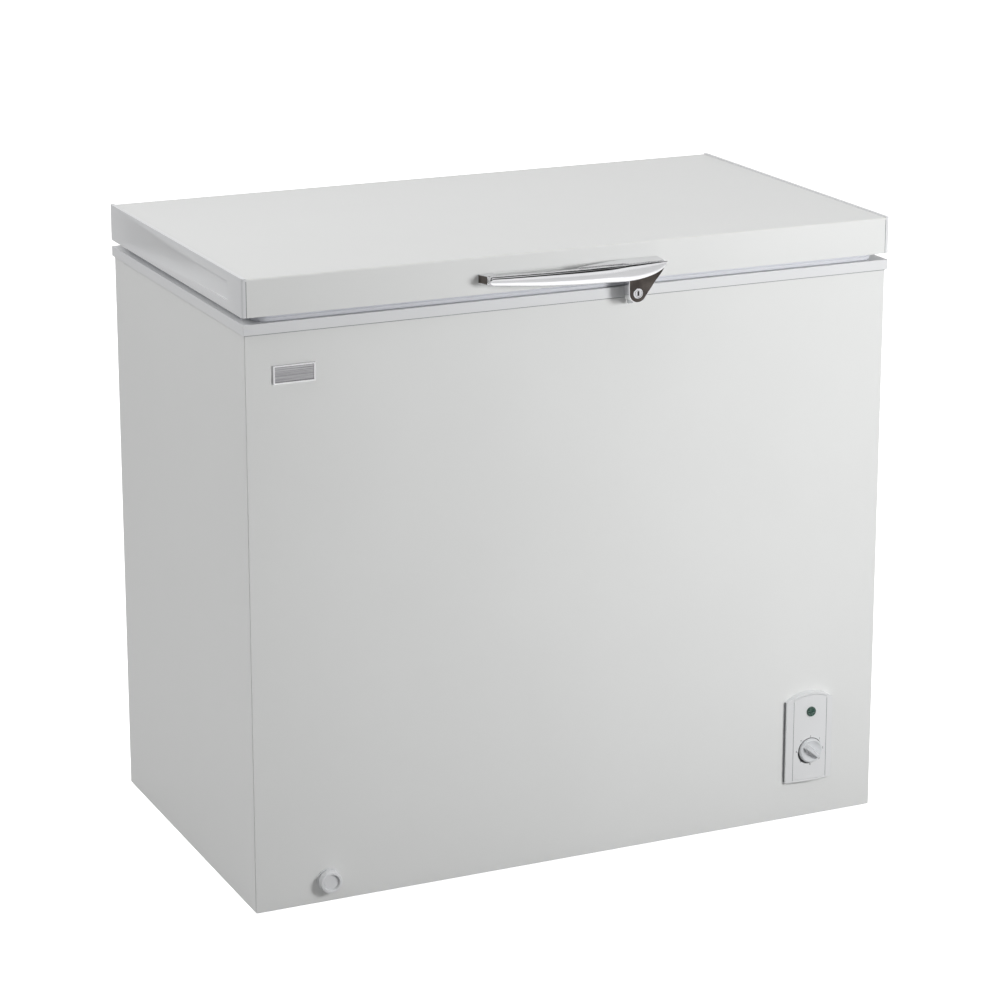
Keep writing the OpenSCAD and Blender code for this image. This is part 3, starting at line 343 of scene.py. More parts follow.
slats, given, made = geometry_tree("louvres", {
    "Blade": ("Vector", (0.001, 0.1, 0.014)), "Slope": ("Float", 0.6), "Material": ("Material", None)})
blade = slats.nodes.new("GeometryNodeMeshCube")
slats.links.new(given.outputs["Blade"], blade.inputs["Size"])
tilt = slats.nodes.new("ShaderNodeCombineXYZ")
slats.links.new(given.outputs["Slope"], tilt.inputs["Y"])
spread = slats.nodes.new("GeometryNodeInstanceOnPoints")
slats.links.new(given.outputs["Geometry"], spread.inputs["Points"])
slats.links.new(blade.outputs["Mesh"], spread.inputs["Instance"])
slats.links.new(tilt.outputs["Vector"], spread.inputs["Rotation"])
end_tree(slats, spread.outputs["Instances"], given, made)
grille_low, grille_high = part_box("side_grille")
grille_pitch = (grille_high.z - grille_low.z - 0.024) / 11
grille_middle = (grille_low.y + grille_high.y) / 2
louvre_x, louvre_out, first_louvre = grille_high.x - 0.0042, 0.0605, grille_low.z + 0.0165
rows = [(louvre_x, grille_middle + side * louvre_out, first_louvre + (i + 0.25) * grille_pitch)
        for i in range(11) for side in (-1, 1)]
placed("side_grille_louvres", grown("louvres", slats, points("louvre_rows", rows), {
    "Blade": (0.0011, 0.112, 0.0125), "Slope": 0.62, "Material": white_plastic}),
    white_plastic, body="cabinet")

# --- rear screws and cord inlet ---
# Twelve zinc plated pan-head screws with a cross recess hold the rear cover and the hinge channels.
# The mains lead enters through a moulded gland.
def pan_head(name, radius, tall, shank, length):
    """A screw along +Y with its head's underside at the origin."""
    shell = bmesh.new()
    around, rings = 32, 9
    rows = []
    for i in range(rings + 1):
        r = radius * i / rings
        row = []
        for k in range(around):
            a = 2 * math.pi * k / around
            x, z = r * math.cos(a), r * math.sin(a)
            rise = tall * (1 - 0.75 * (r / radius) ** 4)
            arm = max(0.0, 1 - min(abs(x), abs(z)) / (0.16 * radius)) if r < 0.6 * radius else 0.0
            row.append(shell.verts.new((x, rise - min(1.0, 1.6 * arm) * tall * 0.5, z)))
        rows.append(row)
    rows.append([shell.verts.new((v.co.x, 0.0, v.co.z)) for v in rows[-1]])
    for y in (0.0, -length):
        rows.append([shell.verts.new((v.co.x * shank / radius, y, v.co.z * shank / radius))
                     for v in rows[rings]])
    for a, b in zip(rows, rows[1:]):
        for k in range(around):
            shell.faces.new((a[k], b[k], b[(k + 1) % around], a[(k + 1) % around]))
    shell.faces.new(rows[-1])
    bmesh.ops.remove_doubles(shell, verts=shell.verts, dist=1e-7)
    bmesh.ops.recalc_face_normals(shell, faces=shell.faces)
    mesh = bpy.data.meshes.new(name)
    shell.to_mesh(mesh)
    shell.free()
    return mesh


studs, given, made = geometry_tree("screws", {"Screw": ("Object", None), "Material": ("Material", None)})
sample = studs.nodes.new("GeometryNodeObjectInfo")
studs.links.new(given.outputs["Screw"], sample.inputs["Object"])
spread = studs.nodes.new("GeometryNodeInstanceOnPoints")
studs.links.new(given.outputs["Geometry"], spread.inputs["Points"])
studs.links.new(sample.outputs["Geometry"], spread.inputs["Instance"])
end_tree(studs, spread.outputs["Instances"], given, made)
screw_head = pan_head("pattern_screw", 0.0038, 0.0022, 0.002, 0.0025)
pattern_screw = bpy.data.objects.new("pattern_screw", screw_head)
bpy.context.collection.objects.link(pattern_screw)
cover_low, cover_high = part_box("rear_cover")
bracket_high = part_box("hinge_brackets")[1]
hinge_x = bracket_high.x - 0.038
back_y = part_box("back_panel")[1].y
spots = [(x, back_y + 0.0012, z) for x in (cover_low.x + 0.0045, cover_high.x - 0.0045)
         for z in (cover_low.z + 0.008, cover_high.z - 0.008)]
spots += [(side * hinge_x + s * 0.031, back_y + 0.002, z) for side in (-1, 1) for s in (-1, 1)
          for z in (0.660, 0.757)]
placed("rear_screws_made", grown("rear_screws", studs, points("rear_screw_spots", spots), {
    "Screw": pattern_screw, "Material": zinc}), zinc, ["rear_screws"])
softened("cord_inlet", black_plastic, 0.0006)

# --- control panel ---
# A bowed bezel of white ABS clips over the hole in the front sheet, with a separate face plate, a
# green signal lamp and the thermostat's dial. The scale is pad printed in dark grey.
softened("control_bezel", white_plastic, 0.0008, 3, 50.0)
softened("control_plate", white_plastic, 0.0005, 2, 50.0)
coated(black_plastic, "lamp_body")
coated(zinc, "thermostat_shaft")
panel_low, panel_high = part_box("control_bezel")
panel_x = (panel_low.x + panel_high.x) / 2
bow = (0.037 ** 2 + 0.0045 ** 2) / (2 * 0.0045)


def panel_face(x):
    """The face's depth at a place across the panel."""
    return panel_low.y + bow - math.sqrt(bow ** 2 - (x - panel_x) ** 2)


def turned(name, x, z, profile, around=64, ripple=None):
    """A body turned about a line along Y through x and z, from (radius, depth) pairs, closed at both ends."""
    shell = bmesh.new()
    rows = []
    for r, y in profile:
        row = []
        for k in range(around):
            a = 2 * math.pi * k / around
            lift = ripple(r, a) if ripple else 0.0
            row.append(shell.verts.new((x + r * math.cos(a), y + lift, z + r * math.sin(a))))
        rows.append(row)
    for a, b in zip(rows, rows[1:]):
        for k in range(around):
            shell.faces.new((a[k], a[(k + 1) % around], b[(k + 1) % around], b[k]))
    for row in (rows[0], rows[-1]):
        if (row[0].co - row[1].co).length > 1e-6:
            shell.faces.new(row)
    bmesh.ops.remove_doubles(shell, verts=shell.verts, dist=1e-7)
    bmesh.ops.recalc_face_normals(shell, faces=shell.faces)
    mesh = bpy.data.meshes.new(name)
    shell.to_mesh(mesh)
    shell.free()
    return mesh


# Thin grey bars here are painted shade: lines in the grooves beside the face plate, plates on the bezel's side
# faces, and a line in the gap under the bezel.
side_top = panel_high.z - 0.012
lines = [((x - 0.0002, panel_face(x) - 0.0001, panel_low.z + 0.0025),
          (x + 0.0002, panel_face(x) + 0.0004, side_top)) for x in (panel_x - 0.0265, panel_x + 0.0265)]
lines += [((x - 0.0004, rim_y - 0.0035, panel_low.z + 0.0006), (x + 0.0004, rim_y, side_top))
          for x in (panel_low.x, panel_high.x)]
lines += [((panel_low.x + 0.0006, rim_y - 0.0008, panel_low.z - 0.0006),
           (panel_high.x - 0.0006, rim_y, panel_low.z + 0.0004))]
bars("panel_joints", painted_joint_shade, lines, "cabinet")
lamp_low, lamp_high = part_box("lamp_lens")
lamp_z = (lamp_low.z + lamp_high.z) / 2
green = finish("green_lens", tone(2, 62, 48), tone(6, 92, 70), (0.06, 0.12), 0.00001,
               sizes={"Fine": 900.0, "Broad": 160.0}, transmission_weight=0.25, coat_weight=0.6)
lens_profile = [(0.0072, lamp_high.y), (0.0072, lamp_low.y + 0.0018), (0.0069, lamp_low.y + 0.0012),
                (0.0062, lamp_low.y + 0.001), (0.0058, lamp_low.y + 0.0014), (0.0042, lamp_low.y + 0.0007),
                (0.0021, lamp_low.y + 0.0002), (0.0, lamp_low.y)]
placed("lamp_lens_made", turned("lamp_lens_made", panel_x, lamp_z, lens_profile, 24,
    lambda r, a: 0.00035 * math.cos(8 * a) if 0.001 < r < 0.006 else 0.0), green, ["lamp_lens"], sharp=12.0)

knob_low, knob_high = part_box("thermostat_knob")
knob_x, knob_z = (knob_low.x + knob_high.x) / 2, (knob_low.z + knob_high.z) / 2
knob_r, knob_back = (knob_high.x - knob_low.x) / 2, knob_high.y
knob_plastic = finish("knob_plastic", tone(214, 216, 218), tone(222, 224, 226), (0.26, 0.34), 0.000012,
                      sizes={"Fine": 1400.0, "Broad": 30.0})


def knob_rise(r, a):
    """How far the dial's front stands out at a polar place: a rim, a dish and a finger ridge."""
    if r > knob_r - 0.0016:
        return 0.0026 + 0.0014 * (knob_r - r) / 0.0016
    dish = 0.004
    if r < 0.0148:
        dish -= 0.0034 * (1 - (r / 0.0148) ** 2) ** 0.7
    across = abs(r * math.sin(a - math.radians(140)))
    along = abs(r * math.cos(a - math.radians(140)))
    flank = max(0.0, min(1.0, (0.0048 - across) / 0.0026))
    tip = max(0.0, min(1.0, (0.0152 - along) / 0.005))
    ridge = 0.0108 * (flank * flank * (3 - 2 * flank)) * math.sqrt(tip * (2 - tip))
    return max(dish, ridge)


shell = bmesh.new()
rings = [knob_r * i / 44 for i in range(45)]
rows = [[shell.verts.new((knob_x + r * math.cos(a), knob_back - knob_rise(r, a), knob_z + r * math.sin(a)))
         for a in (2 * math.pi * k / 144 for k in range(144))] for r in rings]
rows.append([shell.verts.new((v.co.x, knob_back, v.co.z)) for v in rows[-1]])
for a, b in zip(rows, rows[1:]):
    for k in range(144):
        shell.faces.new((a[k], a[(k + 1) % 144], b[(k + 1) % 144], b[k]))
shell.faces.new(rows[-1])
bmesh.ops.remove_doubles(shell, verts=shell.verts, dist=1e-7)
bmesh.ops.recalc_face_normals(shell, faces=shell.faces)
mesh = bpy.data.meshes.new("thermostat_knob_made")
shell.to_mesh(mesh)
shell.free()
placed("thermostat_knob_made", mesh, knob_plastic, ["thermostat_knob"], sharp=50.0)

ink_and_painted_shadow = finish("dial_print", tone(52, 53, 56), tone(66, 67, 70), (0.5, 0.6), 0.000005,
             sizes={"Fine": 3000.0, "Broad": 80.0})
shell = bmesh.new()


def inked(strip):
    """Lays a strip of (inner, outer) polar places on the panel's face, round the dial."""
    pairs = []
    for a, inner, outer in strip:
        pair = []
        for r in (inner, outer):
            x, z = knob_x + r * math.cos(a), knob_z + r * math.sin(a)
            pair.append(shell.verts.new((x, panel_face(x) - 0.00008, z)))
        pairs.append(pair)
    for a, b in zip(pairs, pairs[1:]):
        shell.faces.new((a[0], a[1], b[1], b[0]))


inked([(math.radians(5 * i), 0.0178, 0.0187) for i in range(73)])
# The dark crescent just outside the ring runs from 9 to 6 o'clock and is thickest at the lower left. It is
# painted shadow of the knob, laid down with the print.
inked([(math.radians(180 + 90 * i / 30), 0.0187,
        0.0187 + 0.0001 + 0.0019 * math.sin(math.pi * min(1.0, i / 30)) ** 0.8) for i in range(31)])
inked([(math.radians(90) + s * 0.012, 0.0185, 0.0222) for s in (-1, 0, 1)])
for number in range(1, 8):
    figure = bpy.data.curves.new("figure", "FONT")
    figure.body = str(number)
    figure.size = 0.0044
    figure.align_x, figure.align_y = "CENTER", "CENTER"
    figure.resolution_u = 3
    written = bpy.data.objects.new("figure", figure)
    bpy.context.collection.objects.link(written)
    flat = bpy.data.meshes.new_from_object(written.evaluated_get(bpy.context.evaluated_depsgraph_get()))
    bpy.data.objects.remove(written)
    a = math.radians(90 - 45 * number)
    mark = bmesh.new()
    mark.from_mesh(flat)
    for v in mark.verts:
        x, z = knob_x + 0.0212 * math.cos(a) + v.co.x, knob_z + 0.0212 * math.sin(a) + v.co.y
        v.co = (x, panel_face(x) - 0.00008, z)
    mark.to_mesh(flat)
    mark.free()
    shell.from_mesh(flat)
mesh = bpy.data.meshes.new("dial_print")
bmesh.ops.recalc_face_normals(shell, faces=shell.faces)
for face in shell.faces:
    if face.normal.y > 0:
        face.normal_flip()
shell.to_mesh(mesh)
shell.free()
print_and_shadow = placed("dial_print", mesh, ink_and_painted_shadow, body="cabinet")
film = print_and_shadow.modifiers.new("film", "SOLIDIFY")
film.thickness = 0.00006
film.offset = -1.0

# --- drain ---
# A plug in the tub's floor opens a moulded tube to the front, where a short spout pulls out. Its
# cap has a ribbed rim and a sunk middle.
softened("drain_tube", white_plastic, 0.0003)
softened("drain_plug", rubber, 0.0008)
softened("drain_spout", white_plastic, 0.0004)
cap_low, cap_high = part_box("drain_cap")
cap_x, cap_z = (cap_low.x + cap_high.x) / 2, (cap_low.z + cap_high.z) / 2
cap_r, cap_front, cap_back = (cap_high.x - cap_low.x) / 2, cap_low.y, cap_high.y
cap_profile = [(0.0103, cap_front + 0.0082), (0.0103, cap_back), (cap_r - 0.0012, cap_back),
               (cap_r, cap_back - 0.001), (cap_r, cap_front + 0.0022), (cap_r - 0.0008, cap_front + 0.0007),
               (cap_r - 0.0024, cap_front), (cap_r - 0.0042, cap_front + 0.0003),
               (cap_r - 0.0046, cap_front + 0.0022), (cap_r - 0.0050, cap_front + 0.0042),
               (cap_r - 0.0058, cap_front + 0.0044), (cap_r - 0.0062, cap_front + 0.0036),
               (0.0, cap_front + 0.0034)]
shell = bmesh.new()
shell.from_mesh(turned("drain_cap_skin", cap_x, cap_z, cap_profile, 144))
for v in shell.verts:
    out = Vector((v.co.x - cap_x, 0.0, v.co.z - cap_z))
    if out.length > cap_r - 0.0005 and cap_front + 0.002 < v.co.y < cap_back - 0.0005:
        v.co -= out.normalized() * 0.00055 * (0.5 + 0.5 * math.cos(36 * math.atan2(out.z, out.x)))
mesh = bpy.data.meshes.new("drain_cap_made")
shell.to_mesh(mesh)
shell.free()
placed("drain_cap_made", mesh, white_plastic, ["drain_cap"], sharp=35.0)

# --- badge ---
# A blank plate of brushed aluminium in a chromed frame is stuck to the front sheet, with a step
# down from the frame to the plate.
streaks, given, made = shader_group("streaks", {"Along": 12.0, "Across": 2400.0}, ("Streak", "Patch"))
where = streaks.nodes.new("ShaderNodeTexCoord")
pull = streaks.nodes.new("ShaderNodeCombineXYZ")
streaks.links.new(given.outputs["Along"], pull.inputs["X"])
streaks.links.new(given.outputs["Across"], pull.inputs["Y"])
streaks.links.new(given.outputs["Across"], pull.inputs["Z"])
drawn = streaks.nodes.new("ShaderNodeVectorMath")
drawn.operation = "MULTIPLY"
streaks.links.new(where.outputs["Object"], drawn.inputs[0])
streaks.links.new(pull.outputs["Vector"], drawn.inputs[1])
noise = streaks.nodes.new("ShaderNodeTexNoise")
noise.inputs["Scale"].default_value = 1.0
streaks.links.new(drawn.outputs["Vector"], noise.inputs["Vector"])
streaks.links.new(noise.outputs["Fac"], made.inputs["Streak"])
cloud = streaks.nodes.new("ShaderNodeTexNoise")
cloud.inputs["Scale"].default_value = 40.0
streaks.links.new(where.outputs["Object"], cloud.inputs["Vector"])
streaks.links.new(cloud.outputs["Fac"], made.inputs["Patch"])
badge_silver = finish("badge_silver", tone(120, 119, 122), tone(184, 184, 186), (0.24, 0.36), 0.00001,
                      group=streaks, shade="Streak", height="Streak", metallic=0.95)
chrome = finish("chrome", tone(222, 222, 224), tone(230, 230, 232), (0.05, 0.09), 0.000002,
                sizes={"Fine": 300.0, "Broad": 12.0}, metallic=1.0)
softened("badge_frame", chrome, 0.0007, 3)
softened("badge_plate", badge_silver, 0.0003)

# --- hinges ---
# Each hinge is a folded zinc plated channel on the back, with a pin through the lid's leaf. A coil
# spring pushes a nylon block up against the leaf's cam, and a white cover hides them.
softened("hinge_brackets", zinc, 0.0004)
softened("hinge_pins", zinc, 0.0005)
softened("hinge_covers", white_plastic, 0.001, 3)
softened("hinge_pushers", white_plastic, 0.0008)
softened("hinge_leaves", zinc, 0.0004)
softened("lock_keeper", zinc, 0.0003)
leaf_low, leaf_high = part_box("leaf_screws")
spots = [(side * hinge_x + s * 0.011, leaf_high.y - 0.0022, z) for side in (-1, 1) for s in (-1, 1)
         for z in (leaf_low.z + 0.0038, leaf_high.z - 0.0038)]
placed("leaf_screws_made", grown("leaf_screws", studs, points("leaf_screw_spots", spots), {
    "Screw": pattern_screw, "Material": zinc}), zinc, ["leaf_screws"])
bpy.data.objects.remove(pattern_screw)
spring_steel = finish("spring_steel", tone(96, 97, 100), tone(122, 123, 126), (0.3, 0.42), 0.00001,
                      sizes={"Fine": 1600.0, "Broad": 60.0}, metallic=0.9)
coil, given, made = geometry_tree("springs", {
    "Turns": ("Float", 9.0), "Radius": ("Float", 0.008), "Height": ("Float", 0.12),
    "Wire": ("Float", 0.0016), "Material": ("Material", None)})
helix = coil.nodes.new("GeometryNodeCurveSpiral")
helix.inputs["Resolution"].default_value = 28
for label, source in (("Rotations", "Turns"), ("Start Radius", "Radius"), ("End Radius", "Radius"),
                      ("Height", "Height")):
    coil.links.new(given.outputs[source], helix.inputs[label])
ring = coil.nodes.new("GeometryNodeCurvePrimitiveCircle")
ring.inputs["Resolution"].default_value = 10
coil.links.new(given.outputs["Wire"], ring.inputs["Radius"])
wound = coil.nodes.new("GeometryNodeCurveToMesh")
wound.inputs["Fill Caps"].default_value = True
coil.links.new(helix.outputs["Curve"], wound.inputs["Curve"])
coil.links.new(ring.outputs["Curve"], wound.inputs["Profile Curve"])
spread = coil.nodes.new("GeometryNodeInstanceOnPoints")
coil.links.new(given.outputs["Geometry"], spread.inputs["Points"])
coil.links.new(wound.outputs["Mesh"], spread.inputs["Instance"])
end_tree(coil, spread.outputs["Instances"], given, made)
spring_low, spring_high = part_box("hinge_springs")
spring_y = (spring_low.y + spring_high.y) / 2
mesh = grown("hinge_springs_made", coil, points("spring_seats", [
    (side * hinge_x, spring_y, spring_low.z + 0.0016) for side in (-1, 1)]), {
    "Turns": 9.0, "Radius": 0.008, "Height": spring_high.z - spring_low.z - 0.0032, "Wire": 0.0016,
    "Material": spring_steel})
mesh.materials.clear()
mesh.materials.append(spring_steel)
mesh.shade_smooth()
springs = bpy.data.objects.new("hinge_springs_made", mesh)
bpy.context.collection.objects.link(springs)
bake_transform(springs)
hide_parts("hinge_springs")

# --- basket ---
# A basket of plastic coated steel wire hangs on the rim's ledges by two long cross wires. Its
# wires are bent into U shapes, welded where they cross and dipped white.
wires, given, made = geometry_tree("wires", {"Radius": ("Float", 0.0018), "Material": ("Material", None)})
runs = wires.nodes.new("GeometryNodeMeshToCurve")
wires.links.new(given.outputs["Geometry"], runs.inputs["Mesh"])
ring = wires.nodes.new("GeometryNodeCurvePrimitiveCircle")
ring.inputs["Resolution"].default_value = 10
wires.links.new(given.outputs["Radius"], ring.inputs["Radius"])
swept = wires.nodes.new("GeometryNodeCurveToMesh")
swept.inputs["Fill Caps"].default_value = True
wires.links.new(runs.outputs["Curve"], swept.inputs["Curve"])
wires.links.new(ring.outputs["Curve"], swept.inputs["Profile Curve"])
end_tree(wires, swept.outputs["Mesh"], given, made)


def bent(corners, radius, closed=False):
    """A wire's path through its corners, each rounded to the radius."""
    path = []
    count = len(corners)
    for i, corner in enumerate(corners):
        if not closed and i in (0, count - 1):
            path.append(corner)
            continue
        before = (corners[i - 1] - corner).normalized()
        after = (corners[(i + 1) % count] - corner).normalized()
        for k in range(7):
            t = k / 6
            path.append(corner + before * radius * (1 - t) ** 2 + after * radius * t ** 2)
    return path


basket_low, basket_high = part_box("wire_basket")
thick, thin = 0.0026, 0.0018
left, right = basket_low.x + thick, basket_high.x - thick
middle = (basket_low.y + basket_high.y) / 2
near, far = middle - 0.187, middle + 0.187
top, floor = basket_high.z - thick, basket_low.z + thin
V = Vector
thick_runs = [bent([V((left, near, top)), V((right, near, top)), V((right, far, top)), V((left, far, top))],
                   0.012, True)]
for x in (left, right):
    thick_runs.append([V((x, basket_low.y + thick, top)), V((x, basket_high.y - thick, top))])
thin_runs = []
for share in (0.35, 0.68):
    z = top - 0.19 * share
    thin_runs.append(bent([V((left, near, z)), V((right, near, z)), V((right, far, z)), V((left, far, z))],
                          0.012, True))
for i in range(1, 12):
    x = left + (right - left) * i / 12
    thin_runs.append(bent([V((x, near, top)), V((x, near, floor)), V((x, far, floor)), V((x, far, top))],
                          0.01))
for i in range(1, 10):
    y = near + (far - near) * i / 10
    thin_runs.append(bent([V((left, y, top)), V((left, y, floor)), V((right, y, floor)), V((right, y, top))],
                          0.01))
basket_white = finish("basket_wire", tone(228, 229, 228), tone(236, 236, 235), (0.3, 0.4), 0.00002,
                      sizes={"Fine": 900.0, "Broad": 14.0})
shell = bmesh.new()
for runs_here, radius, loops in ((thick_runs, thick, 1), (thin_runs, thin, 2)):
    spots, edges = [], []
    for n, run in enumerate(runs_here):
        start = len(spots)
        spots += run
        edges += [(start + i, start + i + 1) for i in range(len(run) - 1)]
        if n < loops:
            edges.append((start + len(run) - 1, start))
    shell.from_mesh(grown("basket_wires", wires, points("wire_runs", spots, edges), {
        "Radius": radius, "Material": basket_white}))
mesh = bpy.data.meshes.new("wire_basket_made")
shell.to_mesh(mesh)
shell.free()
placed("wire_basket_made", mesh, basket_white, ["wire_basket"], sharp=60.0)

# --- lid ---
# The lid is a painted sheet folded down at the front and back over foam, with a white moulded cap
# on each end. Its underside is a vacuum-formed liner with a plug that reaches into the tub.
skin_low, skin_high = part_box("lid_skin")
fold, wall = 0.0028, 0.0008


def folded(inset):
    """The sheet's outline across the lid, from the front edge up, over and down the back."""
    r = fold - inset
    y0, y1, z1 = skin_low.y + inset, skin_high.y - inset, skin_high.z - inset
    line = [(y0, skin_low.z)]
    line += [(y0 + r - r * math.cos(math.radians(15 * k)), z1 - r + r * math.sin(math.radians(15 * k)))
             for k in range(7)]
    line += [(y1 - r + r * math.sin(math.radians(15 * k)), z1 - r + r * math.cos(math.radians(15 * k)))
             for k in range(7)]
    return line + [(y1, skin_low.z)]


outline = folded(0.0) + folded(wall)[::-1]
shell = bmesh.new()
ends = [[shell.verts.new((x, y, z)) for y, z in outline] for x in (skin_low.x, skin_high.x)]
for k in range(len(outline)):
    n = (k + 1) % len(outline)
    shell.faces.new((ends[0][k], ends[0][n], ends[1][n], ends[1][k]))
half = len(outline) // 2
for end in ends:
    for k in range(half - 1):
        shell.faces.new((end[k], end[k + 1], end[-2 - k], end[-1 - k]))
bmesh.ops.recalc_face_normals(shell, faces=shell.faces)
mesh = bpy.data.meshes.new("lid_skin_made")
shell.to_mesh(mesh)
shell.free()
placed("lid_skin_made", mesh, enamel, ["lid_skin"], sharp=40.0)
cap_plastic = white_plastic
softened("lid_cap_left", cap_plastic, 0.0009, 3)
softened("lid_cap_right", cap_plastic, 0.0009, 3)
softened("lid_liner", white_plastic, 0.0015, 3)
# A thin grey bar down each end of the lid's front, on the seam between cap and skin, is the seam's shade,
# painted.
bars("cap_joints", painted_joint_shade, [((x - 0.0004, skin_low.y - 0.00015, skin_low.z + 0.0005),
     (x + 0.0003, skin_low.y + 0.0004, skin_high.z - 0.003)) for x in (skin_low.x, skin_high.x)],
     "lid")

# --- gasket ---
# A soft grey-white vinyl bellows with a magnetic strip inside runs round the lid's underside. Its
# flat base is held by the liner and its hollow lip rests on the rim.
gasket_vinyl = finish("gasket_vinyl", tone(214, 216, 222), tone(222, 224, 229), (0.48, 0.58), 0.00002,
                      sizes={"Fine": 700.0, "Broad": 8.0})
gasket_low, gasket_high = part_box("lid_gasket")
tall = gasket_high.z - gasket_low.z
bellows = [(0.0, tall), (0.0004, tall - 0.0012), (0.0016, tall - 0.0018), (0.0018, tall - 0.0026),
           (0.0004, tall - 0.0034), (0.0, tall * 0.45), (0.0003, tall * 0.2), (0.0014, 0.0004), (0.003, 0.0),
           (0.013, 0.0), (0.0146, 0.0004), (0.0157, tall * 0.2), (0.016, tall * 0.45),
           (0.0156, tall - 0.0034), (0.0142, tall - 0.0026), (0.0144, tall - 0.0018),
           (0.0156, tall - 0.0012), (0.016, tall)]
rows = []
for corner, (sx, sy) in enumerate(((1, 1), (-1, 1), (-1, -1), (1, -1))):
    cx = (gasket_low.x + gasket_high.x) / 2 + sx * ((gasket_high.x - gasket_low.x) / 2 - 0.02)
    cy = (gasket_low.y + gasket_high.y) / 2 + sy * ((gasket_high.y - gasket_low.y) / 2 - 0.02)
    for k in range(7):
        a = math.radians(90 * corner + 15 * k)
        rows.append([Vector((cx + (0.02 - d) * math.cos(a), cy + (0.02 - d) * math.sin(a), gasket_low.z + h))
                     for d, h in bellows])
shell = bmesh.new()
verts = [[shell.verts.new(p) for p in row] for row in rows]
for i, row in enumerate(verts):
    ahead = verts[(i + 1) % len(verts)]
    for k in range(len(row)):
        n = (k + 1) % len(row)
        shell.faces.new((row[k], row[n], ahead[n], ahead[k]))
bmesh.ops.recalc_face_normals(shell, faces=shell.faces)
mesh = bpy.data.meshes.new("lid_gasket_made")
shell.to_mesh(mesh)
shell.free()
placed("lid_gasket_made", mesh, gasket_vinyl, ["lid_gasket"], sharp=35.0)

# --- handle ---
# A cast zinc bar, polished and chromed, bows out from a post at its left end to the lock housing at
# its right, where it becomes a leaf-shaped cap with a flat top plate.
base_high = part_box("handle_base")[1]
lid_front = base_high.y
grip_low, grip_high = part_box("handle_grip")
grip_top = grip_high.z


def grip_ring(u):
    """One section of the bar, at a share of its length from the left end."""
    x = grip_low.x + u * (grip_high.x - grip_low.x)
    reach = lid_front - grip_low.y
    back = 0.018 + 0.007 * math.sin(math.pi / 2 * max(0, min(1, (u - 0.09) / 0.31)))
    back += 0.0052 * max(0, min(1, (u - 0.66) / 0.1))
    front = max(0.028 + (reach - 0.028) * math.sin(math.pi * min(1, u * 0.86)), back + 0.002)
    height = 0.012 + 0.010 * math.sin(math.pi / 2 * u / 0.76)
    if u >= 0.76:
        height = max(0.0014, 0.022 * math.sqrt(max(0.0, 1 - ((u - 0.76) / 0.24) ** 2)))
    middle = grip_top - height / 2
    from_end = (x - grip_low.x) / (height / 2)
    if from_end < 1:
        height = max(0.0008, height * math.sqrt(1 - (1 - from_end) ** 2))
    ring = []
    for k in range(25):
        a = math.radians(90 - 7.5 * k)
        c, s = math.cos(a), math.sin(a)
        ring.append(Vector((x, lid_front - back - (front - back) * abs(c) ** 0.42,
                            middle + height / 2 * math.copysign(abs(s) ** 0.75, s))))
    return ring


shares = [0.0, 0.001, 0.003, 0.006, 0.01, 0.015, 0.021] + [0.03 + 0.02 * i for i in range(37)]
shares += [0.765 + 0.015 * i for i in range(12)] + [0.945, 0.958, 0.97, 0.98, 0.988, 0.994, 0.998, 1.0]
shell = bmesh.new()
rows = [[shell.verts.new(p) for p in grip_ring(u)] for u in sorted(shares)]
for a, b in zip(rows, rows[1:]):
    for k in range(25):
        shell.faces.new((a[k], a[(k + 1) % 25], b[(k + 1) % 25], b[k]))
shell.faces.new(rows[0])
shell.faces.new(rows[-1])
bmesh.ops.recalc_face_normals(shell, faces=shell.faces)
mesh = bpy.data.meshes.new("handle_grip_made")
shell.to_mesh(mesh)
shell.free()
rounded(placed("handle_grip_made", mesh, chrome, ["handle_grip"], sharp=50.0), 0.0005, 3, 60.0)

softened("handle_base", chrome, 0.0009, 3)
# This chrome is painted dark: a painted reflection, used on the lock's face and on the post's left face.
dark_reflection_chrome = finish("dark_chrome", tone(54, 50, 47), tone(104, 98, 94), (0.16, 0.24), 0.000004,
                sizes={"Fine": 400.0, "Broad": 30.0}, metallic=1.0)


def plate(name, outline, lift, body):
    """A thin plate of the dark painted chrome from its corners, laid on a face; lift is its thickness as a
    vector.
    """
    shell = bmesh.new()
    near = [shell.verts.new(p) for p in outline]
    far = [shell.verts.new(Vector(p) + Vector(lift)) for p in outline]
    shell.faces.new(near)
    shell.faces.new(far)
    for k in range(len(near)):
        n = (k + 1) % len(near)
        shell.faces.new((near[k], near[n], far[n], far[k]))
    bmesh.ops.recalc_face_normals(shell, faces=shell.faces)
    mesh = bpy.data.meshes.new(name)
    shell.to_mesh(mesh)
    shell.free()
    return placed(name, mesh, dark_reflection_chrome, body=body)


# A plate of the dark painted chrome covers the post's left face: a painted reflection.
post_x = grip_low.x - 0.005
low, high = grip_top - 0.0112, grip_top - 0.0008
near_lid, far_out = 0.0012, 0.0168
plate("post_inlay", [(post_x + 0.00012 + d / 3, lid_front - d, z) for d, z in (
    (near_lid, low), (far_out, low), (far_out, high), (near_lid, high))],
    (-0.0003, -0.0001, 0), "lid")
